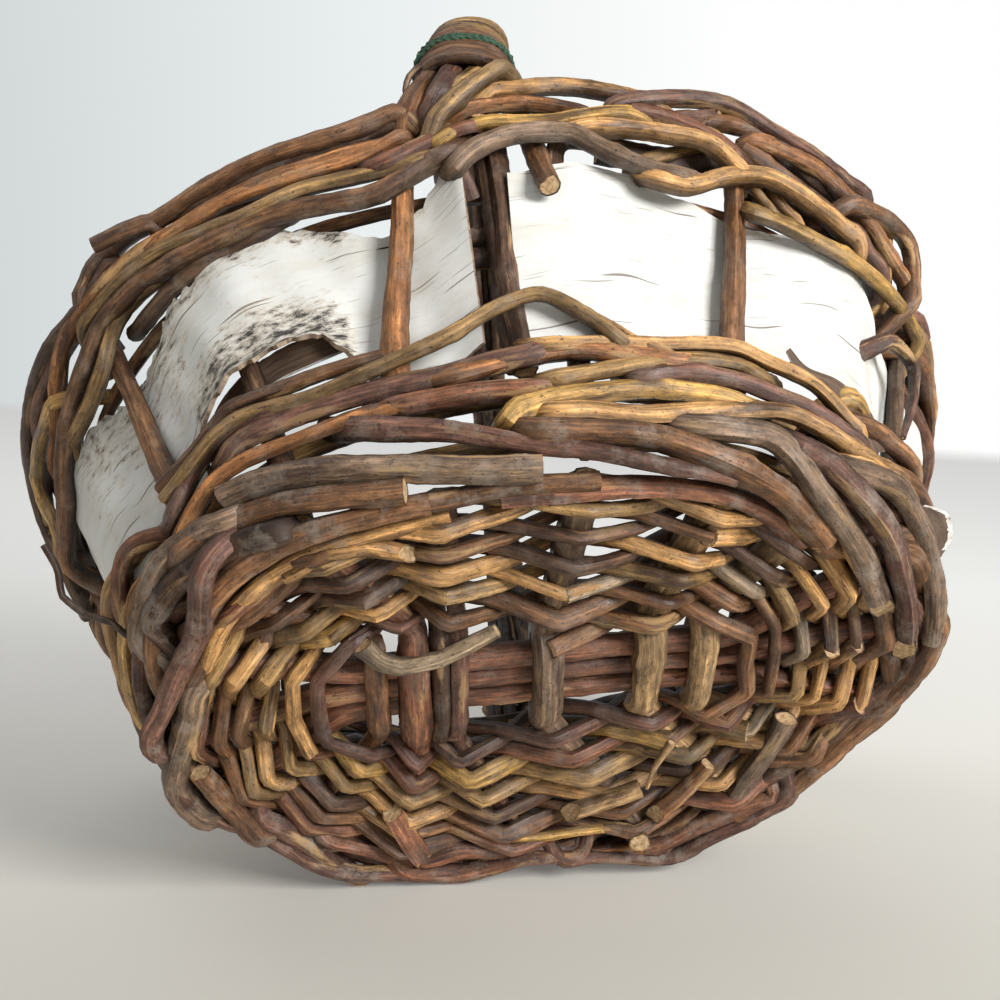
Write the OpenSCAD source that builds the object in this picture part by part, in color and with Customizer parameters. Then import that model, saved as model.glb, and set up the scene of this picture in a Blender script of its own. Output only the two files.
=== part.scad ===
// Willow foraging basket: an oval stick base, upright stakes, waled walls of round rods,
// a band of birch bark laid in and out of the stakes, a turned-down border and a fixed bow handle.
// Millimetres. The basket stands on the cut feet of its stakes at z = 0, long axis along X.

/* [Basket] */
// Length of the oval of stakes at the floor
base_len = 226; // [215:1:245]
// Width of the oval of stakes at the floor
base_wid = 157; // [150:1:175]
// Length of the oval of stakes at the border
rim_len = 320; // [295:1:345]
// Width of the oval of stakes at the border
rim_wid = 279; // [255:1:305]
// Squareness of the oval, where 2 is a plain ellipse
oval_power = 2.15; // [2:0.05:2.4]
// Open height between the lower and the upper wale, filled by the bark
band_h = 39; // [25:1:60]

/* [Wall rods] */
// Diameter of a stake at its foot
stake_d = 6.4; // [5:0.1:7.5]
// Diameter of a stake at the end of its turned-down top
stake_tip_d = 4.6; // [3.5:0.1:5]
// Diameter of the thick rods round the foot of the wall
upsett_d = 7.6; // [6.5:0.1:8.5]
// Diameter of the rods of the lower wale
lower_d = 5.8; // [5:0.1:6.6]
// Diameter of the rods of the upper wale
upper_d = 5; // [4.4:0.1:6]
// Diameter of a wall rod at its thin end, as a share of its butt
rod_taper = 0.8; // [0.6:0.05:1]

/* [Base] */
// Diameter of a cross stick where it is slit
cross_stick_d = 9.6; // [8.5:0.1:10.5]
// Diameter of a long stick
long_stick_d = 6.4; // [5:0.1:7]
// Diameter of the base weavers
weaver_d = 4; // [3.2:0.1:4.2]
// Rounds of pairing on the base
base_rounds = 3.5; // [3:0.25:3.5]

/* [Bark] */
// Thickness of the birch bark
bark_t = 1.4; // [0.8:0.1:2]
// Gap between the edge of the bark and the rods above and below it
bark_edge_gap = 0.5; // [0.3:0.1:2]

/* [Handle] */
// Height of the handle arch above its stem
handle_rise = 135; // [110:1:160]
// Length of the stem between the border and the start of the arch
handle_stem = 7; // [4:1:12]
// Sideways lean of the top of the handle
handle_lean = 12; // [0:1:20]
// Diameter of the bow
bow_d = 9.5; // [8:0.1:10.5]
// Diameter of the rods beside the bow
side_rod_d = 8; // [6:0.1:8.5]
// Diameter of the rod that binds the handle
lashing_d = 4.4; // [3:0.1:5]
// Turns of each binding
lashing_turns = 3; // [2:1:6]
// Diameter of the green cord
cord_d = 2.6; // [2:0.1:4]
// Turns of the green cord
cord_turns = 2; // [2:1:5]

/* [Fit] */
// Room left between pieces that touch
clear = 0.35; // [0.2:0.05:0.4]
// Distance of two rods lying together from the middle between them, in rod radii
spread = 1.25; // [1.2:0.05:1.35]

/* [Hidden] */
stake_n = 18;
stake_step = 360 / stake_n;
first_stake = -86;
back_stake = stake_n / 2;
lower_rows = 2;
upper_rows = 2;
sides = 6;
// Stakes by which the butts of each row are moved on, so that none lies at the handle
row_shift = [0, 3, 12];
stick_sides = 12;
stick_end_gap = 2;
// Room above the upper wale for the bends of the stakes
border_gap = 2.4;
// Gap between the butt and the tip of a wall rod, where they meet inside a stake
butt_gap = 2;
// Push outwards of a wale rod between the two stakes that it passes outside, in rod diameters
wale_push = 0.12;
// Gap between two turns of a winding, and between the bark and the handle
turn_gap = 1;
leg_gap = 1;
// Thickness of a stake at its bend, before and after, as a share of its foot
bend_taper = [0.9, 0.84];
letters = ["a", "b", "c"];
// Distance of the turned-down tops from the middle of the border, in rod radii
border_spread = 1.3;
// Length of a stake's tip past the last stake that it passes, as a share of the step between stakes
tip_share = 0.1;
// Where the middle of a stake's bend lies, as a share of the bend
turn_share = 0.3;

// Colours of the pieces
stake_tone = "#7a4a2b";
upsett_tone = "#6b4a3c";
lower_tone = "#85603a";
upper_tone = "#8a5c30";
cross_tone = "#8c5a3c";
long_tone = "#7d3f2c";
weaver_tones = ["#96703c", "#704428"];
bark_tone = "#ece8df";
bow_tone = "#4c3428";
side_tone = "#79502f";
lashing_tone = "#a67a45";
cord_tone = "#3f6a4a";

// Heights of the rows, stacked from the floor
function row_h(d) = (spread + 1) * d + clear;
upsett_z = row_h(upsett_d) / 2;
function lower_z(i) = row_h(upsett_d) + row_h(lower_d) * (i + 0.5);
band_z = row_h(upsett_d) + row_h(lower_d) * lower_rows;
upper_foot = band_z + band_h;
function upper_z(i) = upper_foot + row_h(upper_d) * (i + 0.5);
border_lift = border_spread * stake_tip_d / 2;
border_z = upper_foot + row_h(upper_d) * upper_rows + border_lift + stake_tip_d / 2 + border_gap;
border_top = border_z + border_lift + stake_tip_d / 2;

// The base lies between the inner rods of the upsett and of the first row above it
base_floor = upsett_z + upsett_d / 2 + clear;
base_ceiling = lower_z(0) - lower_d / 2 - clear;
base_z = (base_floor + base_ceiling) / 2;
stick_tip_d = base_ceiling - base_floor;

// Places of the cross sticks along the base, and of the long sticks across it
cross_x = [-54, -42, -31, 0, 33, 51];
long_pitch = long_stick_d + clear;
slath_half = long_stick_d * 1.5 + clear * 2;
// Stakes that the ends of the sticks meet
cross_front = [15, 16, 17, 0, 1, 2];
cross_back = [11, 10, 9, 8, 7, 6];
long_right = [3, 4, 5];
long_left = [14, 13, 12];

// Handle legs stand beside the front and the back stake
leg_turn = -93.5;
side_gap = (bow_d + side_rod_d) / 2 + clear;
arch_power = 2.6;
lashing_pitch = lashing_d + turn_gap;
cord_pitch = cord_d + turn_gap;
lashing_start = 6;
cord_gap = 3;

// Plain vector helpers
function lerp(a, b, f) = a + (b - a) * f;
function unit(v) = v / norm(v);
function bulge(v, e) = sign(v) * pow(abs(v), e);
function deg(len, radius) = len / radius * 180 / PI;

// The wall: a turn angle, a height and a distance outwards from the stakes, square to the wall
function half_len(z) = lerp(base_len, rim_len, z / border_z) / 2;
function half_wid(z) = lerp(base_wid, rim_wid, z / border_z) / 2;
function outward(t, z) = unit([
    bulge(cos(t), 2 - 2 / oval_power) / half_len(z),
    bulge(sin(t), 2 - 2 / oval_power) / half_wid(z), 0]);
function on_oval(t, a, b) = [a * bulge(cos(t), 2 / oval_power), b * bulge(sin(t), 2 / oval_power), 0];
function flare(t, z) =
    on_oval(t, rim_len - base_len, rim_wid - base_wid) / 2 / border_z * outward(t, z);
function wall(t, z, out = 0) =
    on_oval(t, half_len(z), half_wid(z)) + [0, 0, z] + out * norm([1, flare(t, z)]) * outward(t, z);
function stake_turn(j) = first_stake + j * stake_step;

// A round rod with mitred bends along a path, one radius for each point
function heading(path, i, first) =
    i == 0 ? (is_undef(first) ? unit(path[1] - path[0]) : first)
    : i == len(path) - 1 ? unit(path[i] - path[i - 1])
    : unit(unit(path[i] - path[i - 1]) + unit(path[i + 1] - path[i]));
function ring(p, ahead, up, r, n) =
    let (side = unit(cross(ahead, up)), top = cross(side, ahead))
    [for (k = [0:n - 1]) p + r * (cos(360 * k / n) * side + sin(360 * k / n) * top)];
module rod(path, radii, up = [0, 0, 1], first = undef, n = sides) {
    last = (len(path) - 1) * n;
    points = [for (i = [0:len(path) - 1]) each ring(path[i], heading(path, i, first), up, radii[i], n)];
    skin = [for (i = [0:len(path) - 2], k = [0:n - 1])
        let (a = i * n + k, b = i * n + (k + 1) % n)
        each [[a, b, a + n], [b, b + n, a + n]]];
    ends = [for (k = [1:n - 2]) each [[0, k + 1, k], [last, last + k, last + k + 1]]];
    polyhedron(points, concat(skin, ends));
}
function tapered(d, n, tip = 1) = [for (i = [0:n - 1]) d / 2 * lerp(1, tip, i / (n - 1))];

// Rods that the weave passes as one: a stake, joined at front and back by the handle
// legs = 0 is the stake alone, 1 adds the bow and 2 adds the rods beside it
side_turn = deg(side_gap, half_len(upper_foot));
function posts(j, legs) =
    let (t = stake_turn(j), front = j % stake_n == 0, back = j % stake_n == back_stake)
    let (leg = t - first_stake + leg_turn)
    concat(
        legs == 2 && (front || back)
            ? [[leg - side_turn * 1.5, side_rod_d / 2], [leg - side_turn, side_rod_d / 2]] : [],
        legs == 1 && (front || back) ? [[leg - side_turn * 0.5, bow_d / 2]] : [],
        legs > 0 && (front || back) ? [[leg, bow_d / 2]] : [],
        legs == 2 && (front || back) ? [[leg + side_turn, side_rod_d / 2]] : [],
        [[t, stake_d / 2]]);
function between(j, legs) = (stake_turn(j) + posts(j + 1, legs)[0][0]) / 2;

// Three-rod wale: each rod runs outside two stakes and inside the third, below the next rod
// as it comes out and above it as it goes in
function wale_pass(j, k, z, d, legs) =
    let (state = (j + k) % 3, lift = spread * d / 2, reach = d / 2 + clear)
    [for (post = posts(j, legs))
        wall(post[0], z + (state == 0 ? -lift : state == 1 ? lift : 0),
            (state == 2 ? -1 : 1) * (post[1] + reach))];
function wale_gap(j, k, z, d, legs) =
    let (state = (j + k) % 3, lift = spread * d / 2, reach = (stake_d + d) / 2 + clear)
    wall(between(j, legs), z + (state == 1 ? lift : state == 2 ? -lift : 0),
        state == 0 ? reach + d * wale_push : 0);
module wale_rod(k, row, z, d, legs) {
    start = 2 + 5 * k + row_shift[row];
    butt_turn = deg(butt_gap / 2, half_len(z));
    inside = -(stake_d + d) / 2 - clear;
    run = [for (j = [start:start + stake_n - 1]) each concat(
        j == start ? [] : wale_pass(j, k, z, d, legs), [wale_gap(j, k, z, d, legs)])];
    path = concat(
        [wall(stake_turn(start) + butt_turn, z, inside)], run,
        [wall(stake_turn(start) - butt_turn, z, inside)]);
    rod(path, tapered(d, len(path), rod_taper));
}

// A stake: upright from its foot to the border, then turned over to run inside one stake
// and outside the next two
module stake(k) color(stake_tone) {
    j = k - 1;
    t = stake_turn(j);
    turn_z = border_z - border_lift;
    turn_r = stake_d;
    turn_step = deg(turn_r, half_len(border_z));
    reach = stake_tip_d / 2 + clear;
    over = [for (post = posts(j + 1, 2)) wall(post[0], border_z, -post[1] - reach)];
    high = [for (post = posts(j + 2, 2)) wall(post[0], border_z + border_lift, post[1] + reach)];
    low = [for (post = posts(j + 3, 2)) wall(post[0], border_z - border_lift, post[1] + reach)];
    path = concat(
        [wall(t, 0), wall(t, turn_z - turn_r), wall(t + turn_step * turn_share, turn_z - turn_r * turn_share),
            wall(t + turn_step, turn_z)],
        [wall(between(j, 2), turn_z, -reach)], over,
        [wall(between(j + 1, 2), border_z + border_lift)], high,
        [wall(between(j + 2, 2), border_z, stake_d / 2 + reach)], low,
        [wall(stake_turn(j + 3) + stake_step * tip_share, border_z - border_lift, stake_d / 2 + reach)]);
    thin = len(path) - 3;
    radii = concat([1, bend_taper[0], bend_taper[1]] * stake_d / 2, [for (i = [1:thin]) stake_tip_d / 2]);
    // The foot is cut level with the floor
    rod(path, radii, outward(t, 0), [0, 0, 1]);
}

// Base sticks: every end meets the foot of a stake
// A cross stick is straight where the long sticks pass its slit, and opens out beyond it
function stick_end(j) = wall(stake_turn(j), base_z, -stake_d / 2 - clear - stick_end_gap);
function cross_bend(k, side) = [cross_x[k], side * (slath_half + clear * 2), base_z];
module base_cross_stick(k) color(cross_tone) {
    path = [stick_end(cross_front[k - 1]), cross_bend(k - 1, -1), cross_bend(k - 1, 1),
        stick_end(cross_back[k - 1])];
    slit = [cross_stick_d * 2, slath_half * 2 + clear * 2, long_stick_d + clear * 2];
    difference() {
        rod(path, [stick_tip_d, cross_stick_d, cross_stick_d, stick_tip_d] / 2, n = stick_sides);
        translate([cross_x[k - 1], 0, base_z]) cube(slit, center = true);
    }
}
function long_y(k) = (k - 2) * long_pitch;
function slath_end(side) = side > 0 ? max(cross_x) + cross_stick_d / 2 : min(cross_x) - cross_stick_d / 2;
function long_bend(k, side) = [slath_end(side), long_y(k), base_z];
module base_long_stick(k) color(long_tone) {
    path = [stick_end(long_left[k - 1]), long_bend(k, -1), long_bend(k, 1), stick_end(long_right[k - 1])];
    rod(path, tapered(long_stick_d, len(path)), n = stick_sides);
}

// Pairing on the base: two weavers change places between each stick and the next
weaver_lift = spread * weaver_d / 2;
weaver_room = weaver_d / 2 + weaver_lift + clear;
weave_steps = floor(base_rounds * stake_n);
// Room between the slath and the first round, beside the long sticks and beside the cross sticks
long_room = 5;
cross_room = 7;
// Half of the level stretch of a weaver over a stick, as a share of the stick's diameter
level_share = 0.3;
function which(j, ends) = search(j % stake_n, ends)[0];
function on(j, ends) = len(search(j % stake_n, ends)) > 0;
function is_long(j) = on(j, long_right) || on(j, long_left);
// Each stick from its bend to its end is a rib that the weavers pass, from the slath outwards
function rib_root(j) =
    on(j, cross_front) ? cross_bend(which(j, cross_front), -1)
    : on(j, cross_back) ? cross_bend(which(j, cross_back), 1)
    : on(j, long_right) ? long_bend(which(j, long_right) + 1, 1)
    : long_bend(which(j, long_left) + 1, -1);
function rib_slant(j) = abs(unit(stick_end(j) - rib_root(j)) * outward(stake_turn(j), base_z));
function rib_inner(j) =
    (weaver_room + (is_long(j) ? long_room : cross_room)) / norm(stick_end(j) - rib_root(j));
function rib_outer(j) = 1 - (upsett_d + weaver_room) / rib_slant(j) / norm(stick_end(j) - rib_root(j));
function rib_at(m) =
    lerp(rib_root(m), stick_end(m), lerp(rib_inner(m), rib_outer(m), m / weave_steps));
function rib_d(m) = is_long(m) ? long_stick_d : cross_stick_d;
// Where the sticks still lie close, several are passed together: in the first round those
// of a whole end of the base, and in the second its long sticks
function joined(m) =
    let (round = floor(m / stake_n), middle = m % stake_n == long_right[1] || m % stake_n == long_left[1])
    is_long(m) && (round == 0 ? !middle : round == 1 && middle);
function over(m, s) = pow(-1, m + s + (joined(m) ? 1 : 0));
function rib_pass(m, s) = rib_at(m) + [0, 0, over(m, s) * ((rib_d(m) + weaver_d) / 2 + clear)];
// Over a stick the weaver lies level for a little before and after its middle
function rib_flat(m, s) =
    let (ahead = unit(rib_at(m + 1) - rib_at(max(m - 1, 0))) * rib_d(m) * level_share)
    [rib_pass(m, s) - ahead, rib_pass(m, s) + ahead];
function rib_gap(m, s) =
    let (step = rib_at(m + 1) - rib_at(m), out = unit([step[1], -step[0], 0]))
    over(m, s) == over(m + 1, s) ? (rib_pass(m, s) + rib_pass(m + 1, s)) / 2
    : (rib_at(m) + rib_at(m + 1)) / 2 + out * over(m, s) * weaver_lift;
module base_weaver(s) color(weaver_tones[s]) {
    path = [for (m = [0:weave_steps - 1]) each concat(rib_flat(m, s), [rib_gap(m, s)])];
    rod(path, tapered(weaver_d, len(path)));
}

// Birch bark, laid outside one stake and inside the next
bark_steps = 45;
bark_swing = stake_d / 2 + bark_t / 2 + clear;
bark_foot = band_z + bark_edge_gap;
bark_top = upper_foot - bark_edge_gap;
leg_room = deg(bow_d / 2 + clear + leg_gap, half_len(bark_foot));
function bark_out(t) = bark_swing * cos(180 * (t - first_stake) / stake_step);
module bark_strip(from, to) color(bark_tone) {
    steps = bark_steps;
    turns = [for (i = [0:steps]) lerp(from, to, i / steps)];
    corners = [[bark_foot, -1], [bark_foot, 1], [bark_top, 1], [bark_top, -1]];
    points = [for (t = turns, c = corners) wall(t, c[0], bark_out(t) + c[1] * bark_t / 2)];
    skin = [for (i = [0:steps - 1], c = [0:3])
        let (a = i * 4 + c, b = i * 4 + (c + 1) % 4)
        each [[a, a + 4, b], [b, a + 4, b + 4]]];
    last = steps * 4;
    ends = [[0, 1, 2], [0, 2, 3], [last, last + 2, last + 1], [last, last + 3, last + 2]];
    polyhedron(points, concat(skin, ends));
}

// Handle: a line from leg to leg, measured along the arch above the border
arch_z = border_top + handle_stem;
arch_front = wall(leg_turn, arch_z);
arch_back = wall(leg_turn + 180, arch_z);
function arch(f) = [
    lerp(arch_front[0], arch_back[0], (1 - cos(f)) / 2) + handle_lean * sin(f),
    arch_front[1] * bulge(cos(f), 2 / arch_power),
    arch_z + handle_rise * pow(abs(sin(f)), 2 / arch_power)];
arch_line = [for (f = [0:3:180]) arch(f)];
function along(i) = i == 0 ? 0 : along(i - 1) + norm(arch_line[i] - arch_line[i - 1]);
arch_marks = [for (i = [0:len(arch_line) - 1]) along(i)];
arch_length = arch_marks[len(arch_marks) - 1];
function arch_at(s) = [for (axis = [0:2])
    lookup(s, [for (i = [0:len(arch_line) - 1]) [arch_marks[i], arch_line[i][axis]]])];
arch_steps = 18;
module handle_rod(side, foot, d, tone) color(tone) {
    shift = [side * side_gap, 0, 0];
    front = leg_turn + side * side_turn;
    back = leg_turn + 180 - side * side_turn;
    path = concat(
        [wall(front, foot), wall(front, border_top)],
        [for (i = [0:arch_steps]) arch_at(arch_length * i / arch_steps) + shift],
        [wall(back, border_top), wall(back, foot)]);
    rod(path, tapered(d, len(path)), [1, 0, 0]);
}

// Windings round the handle: an unbroken rod or cord in even turns
rings = 24;
// A direction that no part of a winding runs along
winding_up = [0, 0.4, 0.9];
function winding(from, pitch, turns, d) = [for (i = [0:turns * rings])
    let (s = from + pitch * i / rings, ahead = unit(arch_at(s + 1) - arch_at(s - 1)))
    let (across = unit([1, 0, 0] - ahead * ahead[0]), out = cross(across, ahead))
    let (wide = side_gap + (side_rod_d + d) / 2 + clear * 2, deep = (bow_d + d) / 2 + clear * 2)
    arch_at(s) + across * wide * bulge(cos(360 * i / rings), 2 / arch_power)
        + out * deep * bulge(sin(360 * i / rings), 2 / arch_power)];
function self_gap(path, d) = min([for (i = [0:len(path) - 1 - rings / 2])
    each [for (k = [i + rings / 2:len(path) - 1]) norm(path[i] - path[k])]]) - d;
module wound(from, pitch, turns, d, tone) color(tone) {
    path = winding(from, pitch, turns, d);
    echo(least_gap = self_gap(path, d));
    rod(path, tapered(d, len(path)), winding_up);
}
lashing_len = lashing_pitch * lashing_turns;
cord_start = lashing_start + lashing_len + lashing_d / 2 + cord_gap;
back_start = arch_length - lashing_start - lashing_len;

for (k = [1:stake_n]) stake(k);
for (k = [1:len(long_right)])
    base_long_stick(k);
for (k = [1:len(cross_x)])
    base_cross_stick(k);
for (k = [0:1]) base_weaver(k);
for (k = [0:2]) color(upsett_tone) wale_rod(k, 0, upsett_z, upsett_d, 0);
for (i = [1:lower_rows], k = [0:2]) color(lower_tone) wale_rod(k, i, lower_z(i - 1), lower_d, 1);
for (i = [1:upper_rows], k = [0:2]) color(upper_tone) wale_rod(k, i, upper_z(i - 1), upper_d, 2);
bark_strip(leg_turn - leg_room, leg_turn - 180 + leg_room);  // bark_strip_left
bark_strip(leg_turn + leg_room, leg_turn + 180 - leg_room);  // bark_strip_right
handle_rod(0, row_h(upsett_d) + clear, bow_d, bow_tone);  // handle_bow
handle_rod(-1, upper_foot, side_rod_d, side_tone);  // handle_side_rod_left
handle_rod(1, upper_foot, side_rod_d, side_tone);  // handle_side_rod_right
wound(lashing_start, lashing_pitch, lashing_turns, lashing_d, lashing_tone);  // front_lashing
wound(back_start, lashing_pitch, lashing_turns, lashing_d, lashing_tone);  // back_lashing
wound(cord_start, cord_pitch, cord_turns, cord_d, cord_tone);  // green_cord
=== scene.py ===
# %% [markdown]
# # A willow foraging basket
# The basket is an oval of upright stakes on a base of crossed sticks. Rods of brown willow are woven
# round the stakes at the foot and at the rim, a band of birch bark lies between, and a bow of thick rods
# makes the handle. Every rod is its own piece here, so the lesson is mostly about one skill: drawing a
# line through the weave and turning it into a natural rod.

# %% Load the frame
import math
from collections import namedtuple

import bpy
import numpy as np
from mathutils import Matrix, Quaternion, Vector


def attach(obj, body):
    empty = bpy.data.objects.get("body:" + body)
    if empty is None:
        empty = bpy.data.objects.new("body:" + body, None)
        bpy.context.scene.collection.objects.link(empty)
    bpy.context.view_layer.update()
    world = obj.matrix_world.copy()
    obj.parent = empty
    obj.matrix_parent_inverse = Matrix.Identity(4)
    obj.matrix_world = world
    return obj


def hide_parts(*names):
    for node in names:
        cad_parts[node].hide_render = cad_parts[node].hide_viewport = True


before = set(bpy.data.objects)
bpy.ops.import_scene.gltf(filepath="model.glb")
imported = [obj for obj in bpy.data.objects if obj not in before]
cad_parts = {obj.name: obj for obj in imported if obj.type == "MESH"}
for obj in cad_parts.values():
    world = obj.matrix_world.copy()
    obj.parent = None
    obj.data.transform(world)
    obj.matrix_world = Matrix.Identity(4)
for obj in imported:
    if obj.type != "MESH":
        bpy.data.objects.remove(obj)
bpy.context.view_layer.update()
MM = 0.001

# %% [markdown]
# ## Camera
# The basket lies on its back wall, and the camera looks at its base from a little above the floor. In the
# basket's own upright frame that is a camera far below it, so the numbers are a turn round the basket, a
# height angle and a roll. They were found by fitting the outlines of the base and the rim.

# %% Camera
AIM = Vector((-2.2, -1.9, 101.3)) * MM
DISTANCE = 0.5
TURN, HEIGHT, ROLL = (math.radians(angle) for angle in (-10.66, -50.64, -12.8))
VIEW_ANGLE = math.radians(40.65)
camera_back = Vector((math.sin(TURN) * math.cos(HEIGHT), -math.cos(TURN) * math.cos(HEIGHT),
                      math.sin(HEIGHT)))
bpy.ops.object.select_all(action="DESELECT")
bpy.ops.object.camera_add(location=AIM + camera_back * DISTANCE)
camera = bpy.context.object
camera.rotation_mode = "QUATERNION"
camera.rotation_quaternion = (-camera_back).to_track_quat("-Z", "Y") @ Quaternion((0, 0, 1), ROLL)
camera.data.angle = VIEW_ANGLE
camera.data.clip_start = 0.01
bpy.context.scene.camera = camera
print("camera at", [round(c / MM) for c in camera.location], "mm")

# %% [markdown]
# ## The wall of the basket
# All the weaving follows one surface: an oval that widens from the base to the rim. A place on it is a turn
# round the oval in degrees, a height, and a distance outwards. The sizes are those of the CAD part.

# %% The wall
BASE_LEN, BASE_WID = 226 * MM, 157 * MM
RIM_LEN, RIM_WID = 320 * MM, 279 * MM
OVAL_POWER = 2.15
STAKE_COUNT = 18
STAKE_STEP = 360 / STAKE_COUNT
FIRST_STAKE = -86
LEG_TURN = -93.5
STAKE_D = 6.4 * MM
UPSETT_D, LOWER_D, UPPER_D = 7.6 * MM, 5.8 * MM, 5 * MM
TIP_D = 4.6 * MM
CLEAR = 0.35 * MM
SPREAD = 1.25
BAND_H = 39 * MM
BORDER_GAP = 2.4 * MM
BORDER_SPREAD = 1.3


def row_height(d):
    """Height of one row of three rods of diameter d."""
    return (SPREAD + 1) * d + CLEAR


upsett_z = row_height(UPSETT_D) / 2
lower_z = [row_height(UPSETT_D) + row_height(LOWER_D) * (row + 0.5) for row in range(2)]
band_z = row_height(UPSETT_D) + row_height(LOWER_D) * 2
upper_foot = band_z + BAND_H
upper_z = [upper_foot + row_height(UPPER_D) * (row + 0.5) for row in range(2)]
border_lift = BORDER_SPREAD * TIP_D / 2
border_z = upper_foot + row_height(UPPER_D) * 2 + border_lift + TIP_D / 2 + BORDER_GAP
border_top = border_z + border_lift + TIP_D / 2


def bulge(value, power):
    return math.copysign(abs(value) ** power, value)


def half_sides(z):
    share = z / border_z
    return (BASE_LEN + (RIM_LEN - BASE_LEN) * share) / 2, (BASE_WID + (RIM_WID - BASE_WID) * share) / 2


def outward(turn, z):
    """Level direction square to the wall."""
    a, b = half_sides(z)
    angle, power = math.radians(turn), 2 - 2 / OVAL_POWER
    out = np.array([bulge(math.cos(angle), power) / a, bulge(math.sin(angle), power) / b, 0])
    return out / np.linalg.norm(out)


def wall(turn, z, out=0.0):
    """Point of the wall at a turn in degrees and a height, moved outwards by out."""
    a, b = half_sides(z)
    angle = math.radians(turn)
    x = a * bulge(math.cos(angle), 2 / OVAL_POWER)
    y = b * bulge(math.sin(angle), 2 / OVAL_POWER)
    return np.array([x, y, z]) + out * outward(turn, z)


def stake_turn(j):
    return FIRST_STAKE + j * STAKE_STEP


PICTURE_HALF = 500
RAY_STEPS = np.arange(0.25, 0.6, 0.0005)
eye = np.array(camera.location)


def photo_ray(px, py):
    """Direction from the camera through a place in the 1000 by 1000 picture."""
    reach = PICTURE_HALF / math.tan(VIEW_ANGLE / 2)
    across, up = (px - PICTURE_HALF) / reach, (PICTURE_HALF - py) / reach
    return np.array(camera.rotation_quaternion @ Vector((across, up, -1)))


def on_wall(px, py, out):
    """Where the camera first meets the wall, moved outwards, or passes nearest to it."""
    way = photo_ray(px, py)
    best, least = None, math.inf
    for reach in RAY_STEPS:
        point = eye + way * reach
        a, b = half_sides(point[2])
        depth = (abs(point[0]) / (a + out)) ** OVAL_POWER + (abs(point[1]) / (b + out)) ** OVAL_POWER
        if depth < 1:
            return point
        if depth < least:
            best, least = point, depth
    return best


def on_plane(px, py, axis, value):
    """Where the camera meets a plane square to an axis at a place in the picture."""
    way = photo_ray(px, py)
    return eye + way * (value * MM - eye[axis]) / way[axis]


def beside(px, py, spot):
    """A place in the picture, as far away as a spot that is known."""
    way, back = photo_ray(px, py), np.array(camera_back)
    return eye + way * ((spot - eye) @ back) / (way @ back)


def to_camera(point):
    way = eye - point
    return way / np.linalg.norm(way)


print("border at", round(border_z / MM), "mm, bark from", round(band_z / MM), "to", round(upper_foot / MM))

# %% [markdown]
# ## Floor and light
# The floor is a pale table top that touches the back wall from base to rim. It shows only from its upper
# side, so that it never hides the basket when you walk round it. It has painted shade near the camera and
# painted light far off, where it is paler and glows faintly, and it fades out at its end. The backdrop seen
# behind is painted darker on the left and brighter on the right. The light is a bright room: an even white
# world, a soft lamp in front on the right and a weaker, larger one above on the left.

# %% Floor and light
REST_TURN = 97
FOOT_OUT, RIM_REST_OUT = 13 * MM, 11 * MM
rest_foot = wall(REST_TURN, upsett_z, FOOT_OUT)
rest_rim = wall(REST_TURN, border_z, RIM_REST_OUT)
rest_out = outward(REST_TURN, border_z)
level_way = Vector((rest_out[1], -rest_out[0], 0))
floor_up = level_way.cross(Vector(rest_rim - rest_foot)).normalized()
if floor_up.dot(Vector(rest_out)) > 0:
    floor_up = -floor_up
away = (-camera_back - floor_up * (-camera_back).dot(floor_up)).normalized()
side_way = away.cross(floor_up)
FLOOR_SIZE = 6.0
TABLE_EDGE = 1.1
TABLE_FADE = 0.1
TABLE_SKEW = 0.172
TABLE_CLOUD = 0.05
TABLE_GLOW = 0.07, 0.26
TABLE_NEAR, TABLE_FAR = -0.12, 0.45
SKY_LIGHT = 0.3
SKY_LEFT, SKY_RIGHT = -0.35, 0.15


def new_material(name):
    material = bpy.data.materials.new(name)
    material.use_nodes = True
    tree = material.node_tree
    return material, tree, tree.nodes["Principled BSDF"]


def add_node(tree, kind, **settings):
    """Adds a node. A setting whose name is a property is set there, others are socket values."""
    made = tree.nodes.new(kind)
    for name, value in settings.items():
        if hasattr(made, name):
            setattr(made, name, value)
        else:
            made.inputs[name.replace("_", " ")].default_value = value
    return made


def join(tree, source, output, target, socket):
    tree.links.new(source.outputs[output], target.inputs[socket])


def ramp(tree, source, output, stops):
    """A colour ramp on a node's output, from a list of (place, colour or grey)."""
    made = tree.nodes.new("ShaderNodeValToRGB")
    elements = made.color_ramp.elements
    while len(elements) < len(stops):
        elements.new(0.5)
    for element, (place, tone) in zip(elements, stops):
        element.position = place
        element.color = tone if isinstance(tone, tuple) else (tone, tone, tone, 1)
    join(tree, source, output, made, "Fac")
    return made


def span(tree, source, output, low, high, start=0.0, stop=1.0):
    """Carries the range from low to high over to the range from start to stop."""
    made = add_node(tree, "ShaderNodeMapRange", From_Min=low, From_Max=high, To_Min=start, To_Max=stop)
    join(tree, source, output, made, "Value")
    return made


def scaled_sum(tree, source, output, scale, second, second_output):
    """One value times a scale, plus another value."""
    made = add_node(tree, "ShaderNodeMath", operation="MULTIPLY_ADD")
    made.inputs[1].default_value = scale
    join(tree, source, output, made, 0)
    join(tree, second, second_output, made, 2)
    return made


def bump(tree, shader, source, output, strength, depth):
    """Fine relief from a node's output, with its depth in millimetres."""
    made = add_node(tree, "ShaderNodeBump", Strength=strength, Distance=depth * MM)
    join(tree, source, output, made, "Height")
    join(tree, made, "Normal", shader, "Normal")


def linear(red, green, blue):
    """Screen colour of 0 to 255 as a linear colour."""
    def channel(value):
        share = value / 255
        return share / 12.92 if share <= 0.04045 else ((share + 0.055) / 1.055) ** 2.4
    return channel(red), channel(green), channel(blue), 1.0


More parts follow.
